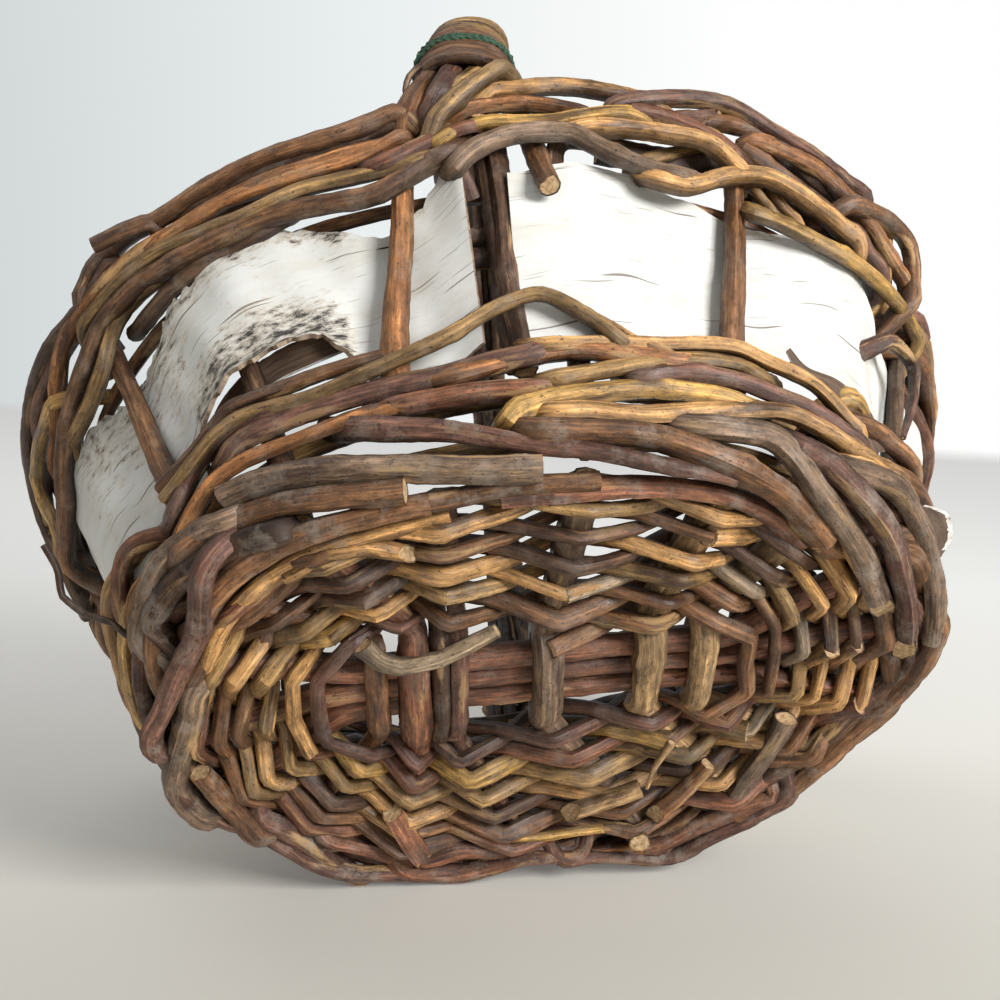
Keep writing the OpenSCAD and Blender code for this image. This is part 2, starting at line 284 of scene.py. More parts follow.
def floor_material():
    """A pale table, with painted shade near the camera and painted light far off, that is clear from below and
    beyond its end.
    """
    material, tree, shader = new_material("pale_table")
    place = add_node(tree, "ShaderNodeTexCoord")
    split = add_node(tree, "ShaderNodeSeparateXYZ")
    join(tree, place, "Object", split, "Vector")
    skew = scaled_sum(tree, split, "X", TABLE_SKEW, split, "Y")
    fade = span(tree, skew, 0, TABLE_EDGE, TABLE_EDGE + TABLE_FADE)
    # Painted shade and light: the table's colour runs from darker near the camera to paler far off, the depth
    # wavered a little by a noise.
    cloud = add_node(tree, "ShaderNodeTexNoise", Scale=9.0, Detail=3.0)
    join(tree, place, "Object", cloud, "Vector")
    depth = scaled_sum(tree, cloud, "Fac", TABLE_CLOUD, split, "Y")
    share = span(tree, depth, 0, TABLE_NEAR, TABLE_FAR)
    tones = ramp(tree, share, "Result", [
        (0.0, linear(196, 193, 182)), (0.5, linear(226, 223, 213)), (1.0, linear(241, 240, 234))])
    join(tree, tones, "Color", shader, "Base Color")
    shader.inputs["Roughness"].default_value = 0.6
    shader.inputs["Specular IOR Level"].default_value = 0.2
    # Painted light: the table glows, more far off than near, and the glow also lifts the basket's shadow.
    glow = span(tree, split, "Y", TABLE_NEAR, TABLE_FAR, *TABLE_GLOW)
    join(tree, glow, "Result", shader, "Emission Strength")
    shader.inputs["Emission Color"].default_value = (0.98, 0.99, 1, 1)
    side = add_node(tree, "ShaderNodeNewGeometry")
    hidden = add_node(tree, "ShaderNodeMath", operation="MAXIMUM")
    join(tree, side, "Backfacing", hidden, 0)
    join(tree, fade, "Result", hidden, 1)
    clear = add_node(tree, "ShaderNodeBsdfTransparent")
    mix = add_node(tree, "ShaderNodeMixShader")
    join(tree, hidden, 0, mix, 0)
    join(tree, shader, 0, mix, 1)
    join(tree, clear, 0, mix, 2)
    join(tree, mix, 0, tree.nodes["Material Output"], "Surface")
    return material


bpy.ops.object.select_all(action="DESELECT")
bpy.ops.mesh.primitive_plane_add(size=FLOOR_SIZE)
table = bpy.context.object
table.name = "table_top"
table_turn = Matrix((side_way, away, floor_up)).transposed().to_4x4()
table.matrix_world = Matrix.Translation(Vector(rest_foot)) @ table_turn
table.data.materials.append(floor_material())

world = bpy.data.worlds.new("bright_room")
bpy.context.scene.world = world
world.use_nodes = True
sky = world.node_tree
room = sky.nodes["Background"]
room.inputs["Color"].default_value = (0.97, 0.98, 1, 1)
room.inputs["Strength"].default_value = SKY_LIGHT
seen = add_node(sky, "ShaderNodeBackground", Strength=1.0)
heading = add_node(sky, "ShaderNodeTexCoord")
sideways = add_node(sky, "ShaderNodeVectorMath", operation="DOT_PRODUCT")
sideways.inputs[1].default_value = side_way
join(sky, heading, "Generated", sideways, 0)
# Painted light: the backdrop seen by the camera is darker on the left and brighter on the right, where the
# light comes from.
spread_tone = span(sky, sideways, "Value", SKY_LEFT, SKY_RIGHT)
sky_tones = ramp(sky, spread_tone, "Result", [
    (0.0, linear(211, 216, 217)), (0.5, linear(234, 239, 239)), (1.0, linear(254, 255, 254))])
join(sky, sky_tones, "Color", seen, "Color")
path = add_node(sky, "ShaderNodeLightPath")
either = add_node(sky, "ShaderNodeMixShader")
join(sky, path, "Is Camera Ray", either, 0)
join(sky, room, 0, either, 1)
join(sky, seen, 0, either, 2)
join(sky, either, 0, sky.nodes["World Output"], "Surface")


def soft_lamp(name, place, size, power):
    bpy.ops.object.light_add(type="AREA", location=place)
    lamp = bpy.context.object
    lamp.name = name
    lamp.data.size = size
    lamp.data.energy = power
    lamp.rotation_mode = "QUATERNION"
    lamp.rotation_quaternion = (Vector(place) - AIM).to_track_quat("Z", "Y")


key_place = AIM + side_way * 0.8 + floor_up * 0.45 + camera_back * 0.85
fill_place = AIM - side_way * 0.5 + floor_up * 1.0 - camera_back * 0.1
soft_lamp("key_lamp", key_place, size=0.5, power=17)
soft_lamp("fill_lamp", fill_place, size=1.0, power=3)
scene = bpy.context.scene
scene.view_settings.view_transform = "Standard"
camera_right = camera.rotation_quaternion @ Vector((1, 0, 0))
print("floor tilts", round(math.degrees(floor_up.dot(camera_right)), 1), "degrees sideways in the picture")
print("floor leans", round(math.degrees(math.acos(floor_up.z))), "degrees in the basket's frame")

# %% [markdown]
# ## Willow bark
# A dry willow rod is brown with long streaks, dark specks and a grey bloom. Each rod carries its own tone
# as a colour attribute, with a painted highlight on its outer crest and painted shade in the hollows, and a
# second attribute, "skin", runs round and along the rod. The pattern reads "skin", so the streaks follow
# every bend of the rod and no seam shows.

# %% Finishes
TONES = {
    "tan": linear(174, 131, 80),
    "orange": linear(146, 97, 56),
    "yellow": linear(180, 140, 76),
    "olive": linear(146, 114, 70),
    "buff": linear(168, 134, 92),
    "brown": linear(114, 79, 51),
    "dark": linear(80, 56, 40),
    "red": linear(122, 79, 56),
    "plum": linear(102, 70, 56),
    "grey": linear(120, 97, 77),
    "ash": linear(134, 115, 92),
}


def stretched_noise(tree, vector, scale, detail, roughness):
    """Noise drawn out along the rod: scale is for across, across and along."""
    stretch = add_node(tree, "ShaderNodeMapping")
    stretch.inputs["Scale"].default_value = scale
    join(tree, vector, "Vector", stretch, "Vector")
    noise = add_node(tree, "ShaderNodeTexNoise", Scale=1.0, Detail=detail, Roughness=roughness)
    join(tree, stretch, "Vector", noise, "Vector")
    return noise


def paint(tree, under, under_socket, mask, mask_socket, colour):
    """Paints a colour over another where the mask is white."""
    layer = add_node(tree, "ShaderNodeMix", data_type="RGBA")
    join(tree, mask, mask_socket, layer, 0)
    join(tree, under, under_socket, layer, 6)
    layer.inputs[7].default_value = colour
    return layer


def paint_where(tree, under, under_socket, noise, output, low, high, colour):
    """Paints a colour over another by a ramp on a noise, between two stops of (place, strength)."""
    mask = ramp(tree, noise, output, [low, high])
    return paint(tree, under, under_socket, mask, "Color", colour)


def willow_material(name, bloom, roughness):
    """Willow bark, with bloom as the share of grey weathering on it."""
    material, tree, shader = new_material(name)
    skin = add_node(tree, "ShaderNodeAttribute", attribute_name="skin")
    tone = add_node(tree, "ShaderNodeAttribute", attribute_name="tone")
    streak = stretched_noise(tree, skin, (800, 800, 42), 6.0, 0.7)
    mottle = stretched_noise(tree, skin, (330, 330, 150), 6.0, 0.72)
    streak_stops = [(0.3, 0.2), (0.45, 0.66), (0.55, 1.0), (0.68, 2.1)]
    mottle_stops = [(0.36, 0.5), (0.5, 1.0), (0.66, 1.5)]
    shade, socket = tone, "Color"
    for noise, stops in ((streak, streak_stops), (mottle, mottle_stops)):
        tones = ramp(tree, noise, "Fac", stops)
        layer = add_node(tree, "ShaderNodeMix", data_type="RGBA", blend_type="MULTIPLY")
        layer.inputs[0].default_value = 0.9
        join(tree, shade, socket, layer, 6)
        join(tree, tones, "Color", layer, 7)
        shade, socket = layer, 2

    patch = stretched_noise(tree, skin, (210, 210, 34), 4.0, 0.6)
    peel = ramp(tree, patch, "Fac", [(0.57, 0.0), (0.66, 0.75)])
    peel_share = add_node(tree, "ShaderNodeMath", operation="MULTIPLY")
    join(tree, peel, "Color", peel_share, 0)
    join(tree, tone, "Alpha", peel_share, 1)
    peeled = paint(tree, shade, 2, peel_share, 0, linear(212, 172, 118))
    stained = paint_where(tree, peeled, 2, patch, "Fac", (0.33, 0.8), (0.43, 0.0), linear(58, 38, 30))

    bloom_noise = add_node(tree, "ShaderNodeTexNoise", Scale=85.0, Detail=6.0, Roughness=0.72)
    join(tree, skin, "Vector", bloom_noise, "Vector")
    greyed = paint_where(tree, stained, 2, bloom_noise, "Fac", (0.5, 0.0), (0.7, bloom),
                         linear(160, 146, 132))

    speck = stretched_noise(tree, skin, (1500, 1500, 600), 2.0, 0.5)
    spotted = paint_where(tree, greyed, 2, speck, "Fac", (0.62, 0.0), (0.7, 0.8), linear(46, 32, 24))
    join(tree, spotted, 2, shader, "Base Color")

    gloss = ramp(tree, patch, "Fac", [(0.35, roughness - 0.14), (0.65, roughness + 0.16)])
    join(tree, gloss, "Color", shader, "Roughness")
    shader.inputs["Specular IOR Level"].default_value = 0.5
    relief = add_node(tree, "ShaderNodeMix", data_type="FLOAT")
    relief.inputs[0].default_value = 0.3
    join(tree, streak, "Fac", relief, 2)
    join(tree, speck, "Fac", relief, 3)
    bump(tree, shader, relief, 0, 0.8, 0.6)
    return material


def cut_wood_material():
    """The pale face of a cut rod."""
    material, tree, shader = new_material("cut_wood")
    place = add_node(tree, "ShaderNodeTexCoord")
    grain = add_node(tree, "ShaderNodeTexNoise", Scale=700.0, Detail=4.0, Roughness=0.7)
    join(tree, place, "Object", grain, "Vector")
    tones = ramp(tree, grain, "Fac", [
        (0.3, linear(130, 98, 66)), (0.5, linear(190, 156, 114)), (0.7, linear(224, 200, 160))])
    join(tree, tones, "Color", shader, "Base Color")
    shader.inputs["Roughness"].default_value = 0.8
    bump(tree, shader, grain, "Fac", 0.5, 0.3)
    return material


satin_willow = willow_material("satin_willow", 0.35, 0.5)
weathered_willow = willow_material("weathered_willow", 0.75, 0.62)
cut_wood = cut_wood_material()
print("finishes:", [m.name for m in (satin_willow, weathered_willow, cut_wood)])

# %% [markdown]
# ## From a line to a rod
# By hand you would draw a curve, give it a round bevel and taper it point by point. That is what happens
# here: the way points of the weave are joined by a smooth line, each point gets its own radius, the curve
# is converted to a mesh, and then the mesh is roughened, with ridges along the bark and swollen knots.

# %% Rod tools
Rod = namedtuple("Rod", "line butt tip tone slant", defaults=(None,))
RING_STEP = 2.4 * MM
RING_SIDES = 12
KNOT_WIDTH = 2.6 * MM
LOBES = (2, 0.08), (3, 0.06), (4, 0.04), (5, 0.03)
WANDER_WAVES = 47 * MM, 83 * MM, 131 * MM
GIRTH_WAVES = 23 * MM, 61 * MM
TONE_WAVES = 60 * MM, 140 * MM
END_HOLD = 8 * MM
TUCK_LENGTH, TUCK_DEPTH, TUCK_AHEAD = 9 * MM, 6 * MM, 0.6
ROD_STIFFNESS = 0.15
SURE_FACING, WELL_SEEN = 0.4, 0.6
LOWEST = 5 * MM
RIM_SLACK, RIM_OUT = 6 * MM, 8 * MM
TUCK_IN = np.array([0.93, 0.9, 1])
TUCK_UP = np.array([0, 0, 9 * MM])


def smooth_line(points, stiff=0.0, step=RING_STEP):
    """An even line through the points and how far along each lies. Stiff 1 is straight between the points."""
    p = np.asarray(points, float)
    p = np.vstack([2 * p[0] - p[1], p, 2 * p[-1] - p[-2]])
    pieces = []
    for before, start, end, after in zip(p[:-3], p[1:-2], p[2:-1], p[3:]):
        count = max(3, int(np.linalg.norm(end - start) / step) + 1)
        u = np.linspace(0, 1, count, endpoint=False)[:, None]
        out_way = (end - before) * (1 - stiff) / 2
        in_way = (after - start) * (1 - stiff) / 2
        pieces.append(start + out_way * u + (3 * (end - start) - 2 * out_way - in_way) * u ** 2
                      + (2 * (start - end) + out_way + in_way) * u ** 3)
    dense = np.vstack(pieces + [p[-2][None]])
    marks = np.concatenate([[0], np.cumsum(np.linalg.norm(np.diff(dense, axis=0), axis=1))])
    even = np.linspace(0, marks[-1], max(4, int(marks[-1] / step) + 1))
    return np.column_stack([np.interp(even, marks, dense[:, axis]) for axis in range(3)]), even


def waves(marks, chance, lengths):
    """Three slow waves along a rod, one column for each axis."""
    total = np.zeros((len(marks), 3))
    for length in lengths:
        phase = chance.uniform(0, 2 * math.pi, 3)
        total += np.sin(2 * math.pi * marks[:, None] / length + phase) / len(lengths)
    return total


def draw_rods(name, rods, node, material, seed, wander=0.6 * MM, stiff=0.0):
    """Makes one piece of one or more rods and lets it stand for a CAD node."""
    chance = np.random.default_rng(seed)
    curve = bpy.data.curves.new(name, "CURVE")
    curve.dimensions = "3D"
    curve.bevel_depth = 1
    curve.bevel_resolution = RING_SIDES // 2 - 2
    drawn = []
    for rod in rods:
        line, marks = smooth_line(rod.line, stiff)
        hold = np.minimum(1, np.minimum(marks, marks[-1] - marks) / END_HOLD)[:, None]
        line = line + waves(marks, chance, WANDER_WAVES) * wander * hold
        share = marks / marks[-1]
        radii = (rod.butt + (rod.tip - rod.butt) * share) / 2
        radii = radii * (1 + 0.05 * waves(marks, chance, GIRTH_WAVES)[:, 0])
        spline = curve.splines.new("POLY")
        spline.points.add(len(line) - 1)
        spline.points.foreach_set("co", np.column_stack([line, np.ones(len(line))]).ravel())
        spline.points.foreach_set("radius", radii)
        drawn.append((rod, line, marks, radii))
    piece = bpy.data.objects.new(name, curve)
    scene.collection.objects.link(piece)
    bpy.ops.object.select_all(action="DESELECT")
    piece.select_set(True)
    bpy.context.view_layer.objects.active = piece
    bpy.ops.object.convert(target="MESH")
    roughen(piece, drawn, chance)
    finish_rods(piece, material)
    stand_for(piece, node)


def stand_for(piece, node):
    """Puts a piece on the basket's one body, in the place of a CAD node."""
    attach(piece, "root")
    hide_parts(node)


def set_points(mesh, name, kind, values):
    """Stores one value for every point of a mesh."""
    key = {"FLOAT_VECTOR": "vector", "FLOAT_COLOR": "color", "FLOAT": "value"}[kind]
    mesh.attributes.new(name, kind, "POINT").data.foreach_set(key, np.ravel(values))


def painted_light_side(places):
    """The side given a painted highlight, with painted shade away from it: down under the base, outwards on
    the wall.
    """
    radial = places * [1, 1, 0]
    radial /= np.linalg.norm(radial, axis=1)[:, None] + 1e-6
    under = np.clip(1.6 - places[:, 2:] / (20 * MM), 0, 1)
    way = radial * (1 - 0.8 * under) - [0, 0, 1] * under
    return way / np.linalg.norm(way, axis=1)[:, None]


def roughen(piece, drawn, chance):
    """Ridges and knots on the mesh, and the attributes that the bark reads, the tone with painted highlight
    and shade.
    """
    mesh = piece.data
    places = np.empty(len(mesh.vertices) * 3)
    mesh.vertices.foreach_get("co", places)
    places = places.reshape(-1, 3)
    skin = np.zeros_like(places)
    tones = np.empty((len(places), 4))
    first = 0
    angle = np.arange(RING_SIDES) * 2 * math.pi / RING_SIDES
    for rod, line, marks, radii in drawn:
        last = first + len(line) * RING_SIDES
        rings = places[first:last].reshape(len(line), RING_SIDES, 3)
        out = rings - line[:, None]
        ridge = np.zeros(rings.shape[:2])
        for lobes, depth in LOBES:
            turn = chance.uniform(0, 2 * math.pi) + marks[:, None] * chance.uniform(-40, 40)
            ridge += depth * np.cos(lobes * angle + turn)
        ridge += chance.normal(0, 0.018, ridge.shape) + chance.normal(0, 0.012, (len(line), 1))
        place = chance.uniform(10, 40) * MM
        while place < marks[-1]:
            near = np.exp(-((marks - place) / KNOT_WIDTH) ** 2)[:, None]
            bud = 0.5 + 0.5 * np.cos(angle - chance.uniform(0, 2 * math.pi))
            ridge += near * (0.07 + 0.2 * chance.uniform() * bud ** 3)
            place += chance.uniform(35, 95) * MM
        rings += out * ridge[:, :, None]
        if rod.slant is not None:
            axis = (line[-1] - line[-2]) / np.linalg.norm(line[-1] - line[-2])
            face = axis + rod.slant
            rings[-1] += axis * (radii[-1] - (rings[-1] - line[-1]) @ face / (axis @ face))[:, None]
        offset = chance.uniform(0, 50)
        flat = np.empty(rings.shape)
        flat[:, :, 0] = np.cos(angle) * radii[:, None]
        flat[:, :, 1] = np.sin(angle) * radii[:, None]
        flat[:, :, 2] = marks[:, None] + offset
        skin[first:last] = flat.reshape(-1, 3)
        shift = 1 + 0.3 * (waves(marks, chance, TONE_WAVES)[:, :1] + chance.uniform(-0.6, 0.6))
        facing = out / np.linalg.norm(out, axis=2)[:, :, None]
        # Painted highlight and shade: each rod's tone is lighter on its outer crest and darker in the hollows
        # between rods.
        painted_light = (facing * painted_light_side(line)[:, None]).sum(axis=2)
        colour = np.array(TONES[rod.tone]) * shift[:, :, None]
        tones[first:last, :3] = (colour[:, :, :3] * (0.7 + 0.7 * painted_light)[:, :, None]).reshape(-1, 3)
        tones[first:last, 3] = chance.uniform(0, 1)
        first = last
    mesh.vertices.foreach_set("co", places.ravel())
    set_points(mesh, "skin", "FLOAT_VECTOR", skin)
    set_points(mesh, "tone", "FLOAT_COLOR", np.clip(tones, 0, 1))
    mesh.update()


def finish_rods(piece, material):
    """Closes the ends, with bark on the sides and a set-in pale face on each end."""
    mesh = piece.data
    mesh.materials.append(material)
    mesh.materials.append(cut_wood)
    bpy.ops.object.mode_set(mode="EDIT")
    bpy.ops.mesh.select_all(action="SELECT")
    bpy.ops.mesh.fill_holes(sides=RING_SIDES)
    bpy.ops.mesh.select_all(action="SELECT")
    bpy.ops.mesh.normals_make_consistent(inside=False)
    bpy.ops.mesh.select_mode(type="FACE")
    bpy.ops.mesh.select_all(action="DESELECT")
    bpy.ops.mesh.select_face_by_sides(number=4, type="GREATER")
    bpy.ops.mesh.inset(thickness=0.5 * MM, depth=-0.15 * MM, use_individual=True)
    piece.active_material_index = 1
    bpy.ops.object.material_slot_assign()
    bpy.ops.mesh.poke()
    bpy.ops.object.mode_set(mode="OBJECT")
    bpy.ops.object.shade_smooth_by_angle(angle=math.radians(45))


def pick(chance, choices):
    """One tone by its weight, from a string of tone names."""
    names = choices.split()
    return names[int(chance.integers(len(names)))]


def even_out(values, sure, steps):
    """Smooths values along a rod, most where the picture can't fix them."""
    count = len(values)
    bends = np.zeros((max(0, count - 2), count))
    for i in range(count - 2):
        bends[i, i:i + 3] = 1 / steps[i], -1 / steps[i] - 1 / steps[i + 1], 1 / steps[i + 1]
    rows = np.vstack([np.diag(sure), bends * ROD_STIFFNESS])
    return np.linalg.lstsq(rows, np.concatenate([sure * values, np.zeros(len(bends))]), rcond=None)[0]


def tuck(line, places, turn, out, sure):
    """Carries the first end of a rod on and in behind the wall: in the picture where it faces the camera."""
    if sure > WELL_SEEN:
        px, py = np.array(places[0]) * (1 + TUCK_AHEAD) - np.array(places[1]) * TUCK_AHEAD
        point = on_wall(px, py, -TUCK_DEPTH)
    else:
        way = (line[0] - line[1]) / np.linalg.norm(line[0] - line[1])
        point = line[0] + way * TUCK_LENGTH - outward(turn, line[0][2]) * (out + TUCK_DEPTH)
    point[2] = min(point[2], border_z)
    return point


def seen_rod(places, out, butt, tip, tone, tucked=(1, 1), loose=False, slanted=False):
    """A rod on the wall, laid along places of the picture, with out, butt and tip in millimetres.

    A tucked end goes in behind the wall. A loose rod stands off, level with the end that is tucked.
    """
    out = out * MM
    turns, heights, sure = [], [], []
    for px, py in places:
        x, y, z = on_wall(px, py, out)
        a, b = half_sides(z)
        y_share, x_share = bulge(y / (b + out), OVAL_POWER / 2), bulge(x / (a + out), OVAL_POWER / 2)
        turn = math.degrees(math.atan2(y_share, x_share))
        turns.append(turn)
        heights.append(z)
        sure.append(abs(photo_ray(px, py) @ outward(turn, z)) / SURE_FACING)
    sure = np.clip(sure, 0.05, 1)
    steps = np.linalg.norm(np.diff(np.array(places, float), axis=0), axis=1)
    steps /= steps.mean()
    turns = even_out(np.unwrap(turns, period=360), sure, steps)
    heights = even_out(np.array(heights), sure, steps)
    line = [wall(turn, z, out) for turn, z in zip(turns, heights)]
    for i, (px, py) in enumerate(places):
        if line[i][2] <= LOWEST:
            line[i] = on_plane(px, py, 2, LOWEST / MM)
    if loose:
        holder = line[0] if tucked[0] else line[-1]
        line = [beside(px, py, holder) for px, py in places]
    if tucked[0]:
        line.insert(0, tuck(line, places, turns[0], out, sure[0]))
    if tucked[1]:
        line.append(tuck(line[::-1], places[::-1], turns[-1], out, sure[-1]))
    return Rod(line, butt * MM, tip * MM, tone, to_camera(line[-1]) if slanted else None)


def along_rim(rods):
    """Carries on at one height, round the end of the basket, what would hang far below the upper wale."""
    kept = []
    for rod in rods:
        line = np.array(rod.line)
        high = np.flatnonzero(line[:, 2] > upper_foot - RIM_SLACK)
        for i in set(range(len(line))) - set(high):
            z = line[high[np.argmin(np.abs(high - i))]][2]
            a, b = half_sides(z)
            turns = math.degrees(math.atan2(line[i][1] / b, line[i][0] / a)) + np.arange(-30, 30, 0.5)
            out = -TUCK_DEPTH if i in (0, len(line) - 1) else RIM_OUT
            spots = np.array([wall(t, z, out) for t in turns])
            misses = np.linalg.norm(np.cross(spots - eye, to_camera(line[i])), axis=1)
            line[i] = spots[np.argmin(misses)]
        kept.append(rod._replace(line=list(line)))
    return kept


def edge_tuck(end, before):
    """Carries the end of a rod on, then in and up behind the edge of the base."""
    return (end * (1 + TUCK_AHEAD) - before * TUCK_AHEAD) * TUCK_IN + TUCK_UP


def edge_rod(places, z, butt, tip, tone, tucked=(0, 0), slanted=False):
    """A rod along the edge of the base, at one height. A slanted cut is turned to the camera."""
    line = [on_plane(px, py, 2, z) for px, py in places]
    if tucked[0]:
        line.insert(0, edge_tuck(line[0], line[1]))
    if tucked[1]:
        line.append(edge_tuck(line[-1], line[-2]))
    return Rod(line, butt * MM, tip * MM, tone, to_camera(line[-1]) if slanted else None)


print("rods have", RING_SIDES, "sides and a ring every", RING_STEP / MM, "mm")

# %% [markdown]
# ## Stakes and border
# A stake starts in the weave of the foot, leans out with the wall and is turned down at the top: behind the
# next stake, then in front of two more. These tops laid over each other make the border. In front the border
# is uneven, so there the tops are rods of their own, laid where the picture shows them.

# %% Stakes
HANDLE_BACK = STAKE_COUNT // 2
BOW_D, SIDE_ROD_D = 9.5 * MM, 8 * MM
SIDE_GAP = (BOW_D + SIDE_ROD_D) / 2 + CLEAR
side_turn = math.degrees(SIDE_GAP / half_sides(upper_foot)[0])


def posts(j, legs):
    """Turn and radius of what the weave passes at stake j: 1 adds the handle's bow, 2 its side rods."""
    turn = stake_turn(j)
    found = []
    if legs and j % STAKE_COUNT in (0, HANDLE_BACK):
        leg = turn - FIRST_STAKE + LEG_TURN
        if legs == 2:
            found.append((leg - side_turn, SIDE_ROD_D / 2))
        found.append((leg, BOW_D / 2))
        if legs == 2:
            found.append((leg + side_turn, SIDE_ROD_D / 2))
    found.append((turn, STAKE_D / 2))
    return found


def between(j, legs):
    return (stake_turn(j) + posts(j + 1, legs)[0][0]) / 2


def border_side(j, radius):
    """The border lies outside the stakes, and inside the front legs of the handle."""
    return -1 if j % STAKE_COUNT == 0 and radius > STAKE_D / 2 else 1


def stake_line(j, foot):
    """From the foot up and over into the border. A stake with a drawn top ends inside the next one."""
    if j in SEEN_STAKES:
        return [on_wall(px, py, SEEN_OUT) for px, py in SEEN_STAKES[j]]
    turn = stake_turn(j)
    turn_z = border_z - border_lift
    bend = STAKE_D
    bend_turn = math.degrees(bend / half_sides(border_z)[0])
    reach = TIP_D / 2 + CLEAR
    line = [wall(turn, z) for z in np.linspace(foot, turn_z - bend * 1.5, 5)]
    line += [wall(turn + bend_turn * 0.35, turn_z - bend * 0.3), wall(turn + bend_turn * 1.4, turn_z)]
    line.append(wall(between(j, 2), turn_z, -reach))
    line += [wall(t, border_z, -r - reach) for t, r in posts(j + 1, 2)]
    if j in TOP_RODS:
        return line
    line.append(wall(between(j + 1, 2), border_z + border_lift))
    line += [wall(t, border_z + border_lift, border_side(j + 2, r) * (r + reach)) for t,
             r in posts(j + 2, 2)]
    line.append(wall(between(j + 2, 2), border_z, STAKE_D / 2 + reach))
    line += [wall(t, border_z - border_lift, border_side(j + 3, r) * (r + reach)) for t,
             r in posts(j + 3, 2)]
    line.append(wall(stake_turn(j + 3) + STAKE_STEP * 0.25, border_z - border_lift, STAKE_D / 2 + reach))
    return line


SEEN_FEET = (8,)
HIDDEN_FOOT = 14 * MM
STAKE_TONES = {0: "dark", 1: "brown", 3: "grey", 15: "brown", 16: "dark", 17: "orange"}
STAKE_WIDTHS = {1: 1.4, 15: 1.25, 17: 1.25}
STAKE_SWELL, TIP_SWELL = 1.12, 1.1
SEEN_OUT = 1.5 * MM
SEEN_STAKES = {
    1: [(728, 420), (730, 375), (731, 340), (732, 290), (733, 240), (734, 200), (734, 172)],
    17: [(398, 425), (397, 385), (396, 345), (398, 300), (400, 250), (401, 205), (403, 172)],
}
TOP_RODS = {
    13: [seen_rod([(112, 262), (92, 290), (83, 312), (64, 330), (45, 353), (33, 380), (30, 414), (30, 452),
                   (35, 490), (45, 525), (56, 548), (75, 590)], 8, 6.4, 5.6, "dark")],
    14: [seen_rod([(397, 115), (370, 124), (346, 134), (295, 150), (244, 168), (199, 192), (163, 218),
                   (127, 238), (97, 264), (87, 284), (85, 307)], 8, 6.2, 6.6, "brown")],
    15: [seen_rod([(399, 127), (370, 134), (340, 147), (290, 164), (258, 178), (225, 195), (190, 216)], 5,
                  5.6, 5.4, "dark")],
    16: [seen_rod([(400, 137), (387, 144), (368, 155), (345, 164), (313, 173), (275, 184), (224, 203),
                   (183, 229), (150, 251)], 8, 5.4, 5, "orange")],
    17: [seen_rod([(486, 94), (519, 89), (552, 88), (586, 90), (610, 95), (632, 99), (655, 106)], 6, 6.2,
                  5.8, "tan")],
    0: [seen_rod([(615, 107), (645, 102), (682, 102), (714, 104), (737, 110), (754, 120), (769, 130),
                  (794, 145), (819, 160), (844, 182), (866, 202)], 8, 5.6, 6.2, "plum")],
    1: [seen_rod([(749, 142), (781, 152), (814, 169), (839, 192), (861, 214), (878, 239), (893, 266),
                  (906, 294)], 8, 6.4, 5.6, "orange"),
        seen_rod([(786, 160), (806, 178), (831, 195), (848, 214)], 4, 6, 6, "dark")],
}
chance = np.random.default_rng(11)
for j in range(STAKE_COUNT):
    tone = pick(chance, "brown brown orange tan red dark tan olive")
    foot = 0 if j in SEEN_FEET else HIDDEN_FOOT
    butt = STAKE_D * STAKE_WIDTHS.get(j, STAKE_SWELL)
    tip = STAKE_D if j in SEEN_STAKES else TIP_D * TIP_SWELL
    rods = [Rod(stake_line(j, foot), butt, tip, STAKE_TONES.get(j, tone))] + along_rim(TOP_RODS.get(j, []))
    draw_rods(f"stake_rod_{j + 1}", rods, f"stake_{j + 1}", satin_willow,
              seed=100 + j, wander=0.4 * MM)
print(STAKE_COUNT, "stakes")

# %% [markdown]
# ## Waling
# Each wale is three rods that take turns: a rod goes outside two stakes and inside the third. A real rod is
# too short to go all the way round, so each ring at the back is two rods, with their ends laid together
# inside a stake. In front the rods are laid one by one along places of the picture.

# %% Wales
UPSETT_RISE = 10 * MM
UPPER_RISE = (3 * MM, 1 * MM)
START_BACK, END_ON = 5, 7


def wale_points(j, k, z, d, legs):
    """Way points at stake j and after it, for rod k of a row."""
    state = (j + k) % 3
    lift = SPREAD * d / 2
    height = z + (-lift, lift, 0 if legs else UPSETT_RISE)[state]
    sign = -1 if state == 2 else 1
    line = [wall(t, height, sign * (r + d / 2 + CLEAR)) for t, r in posts(j, legs)]
    middle = between(j, legs)
    reach = (STAKE_D + d) / 2 + CLEAR
    gap_out = reach + d * 0.12 if state == 0 else 0
    line.append(wall(middle, z + (0, lift, -lift)[state], gap_out))
    return line


def wale_rods(k, z, d, legs, first_stake, last_stake, chance, tones, parts):
    """The rods of one ring from one stake round to another, or all round to the same stake."""
    stops = [j for j in range(first_stake + 1, last_stake) if (j + k) % 3 == 2]
    cuts = [first_stake] + [stops[len(stops) * i // parts] for i in range(1, parts)] + [last_stake]
    rods, inside = [], -(STAKE_D + d) / 2
    for first, last in zip(cuts[:-1], cuts[1:]):
        line = [wall(stake_turn(first) - START_BACK, z, inside - d * 0.8)]
        for j in range(first, last):
            line += wale_points(j, k, z, d, legs)
        line.append(wall(stake_turn(last), z, inside))
        line.append(wall(stake_turn(last) + END_ON, z + d * 0.2, inside))
        butt, tip = d * chance.uniform(1.2, 1.38), d * chance.uniform(1.0, 1.15)
        rods.append(Rod(line, butt, tip, pick(chance, tones)))
    return rods


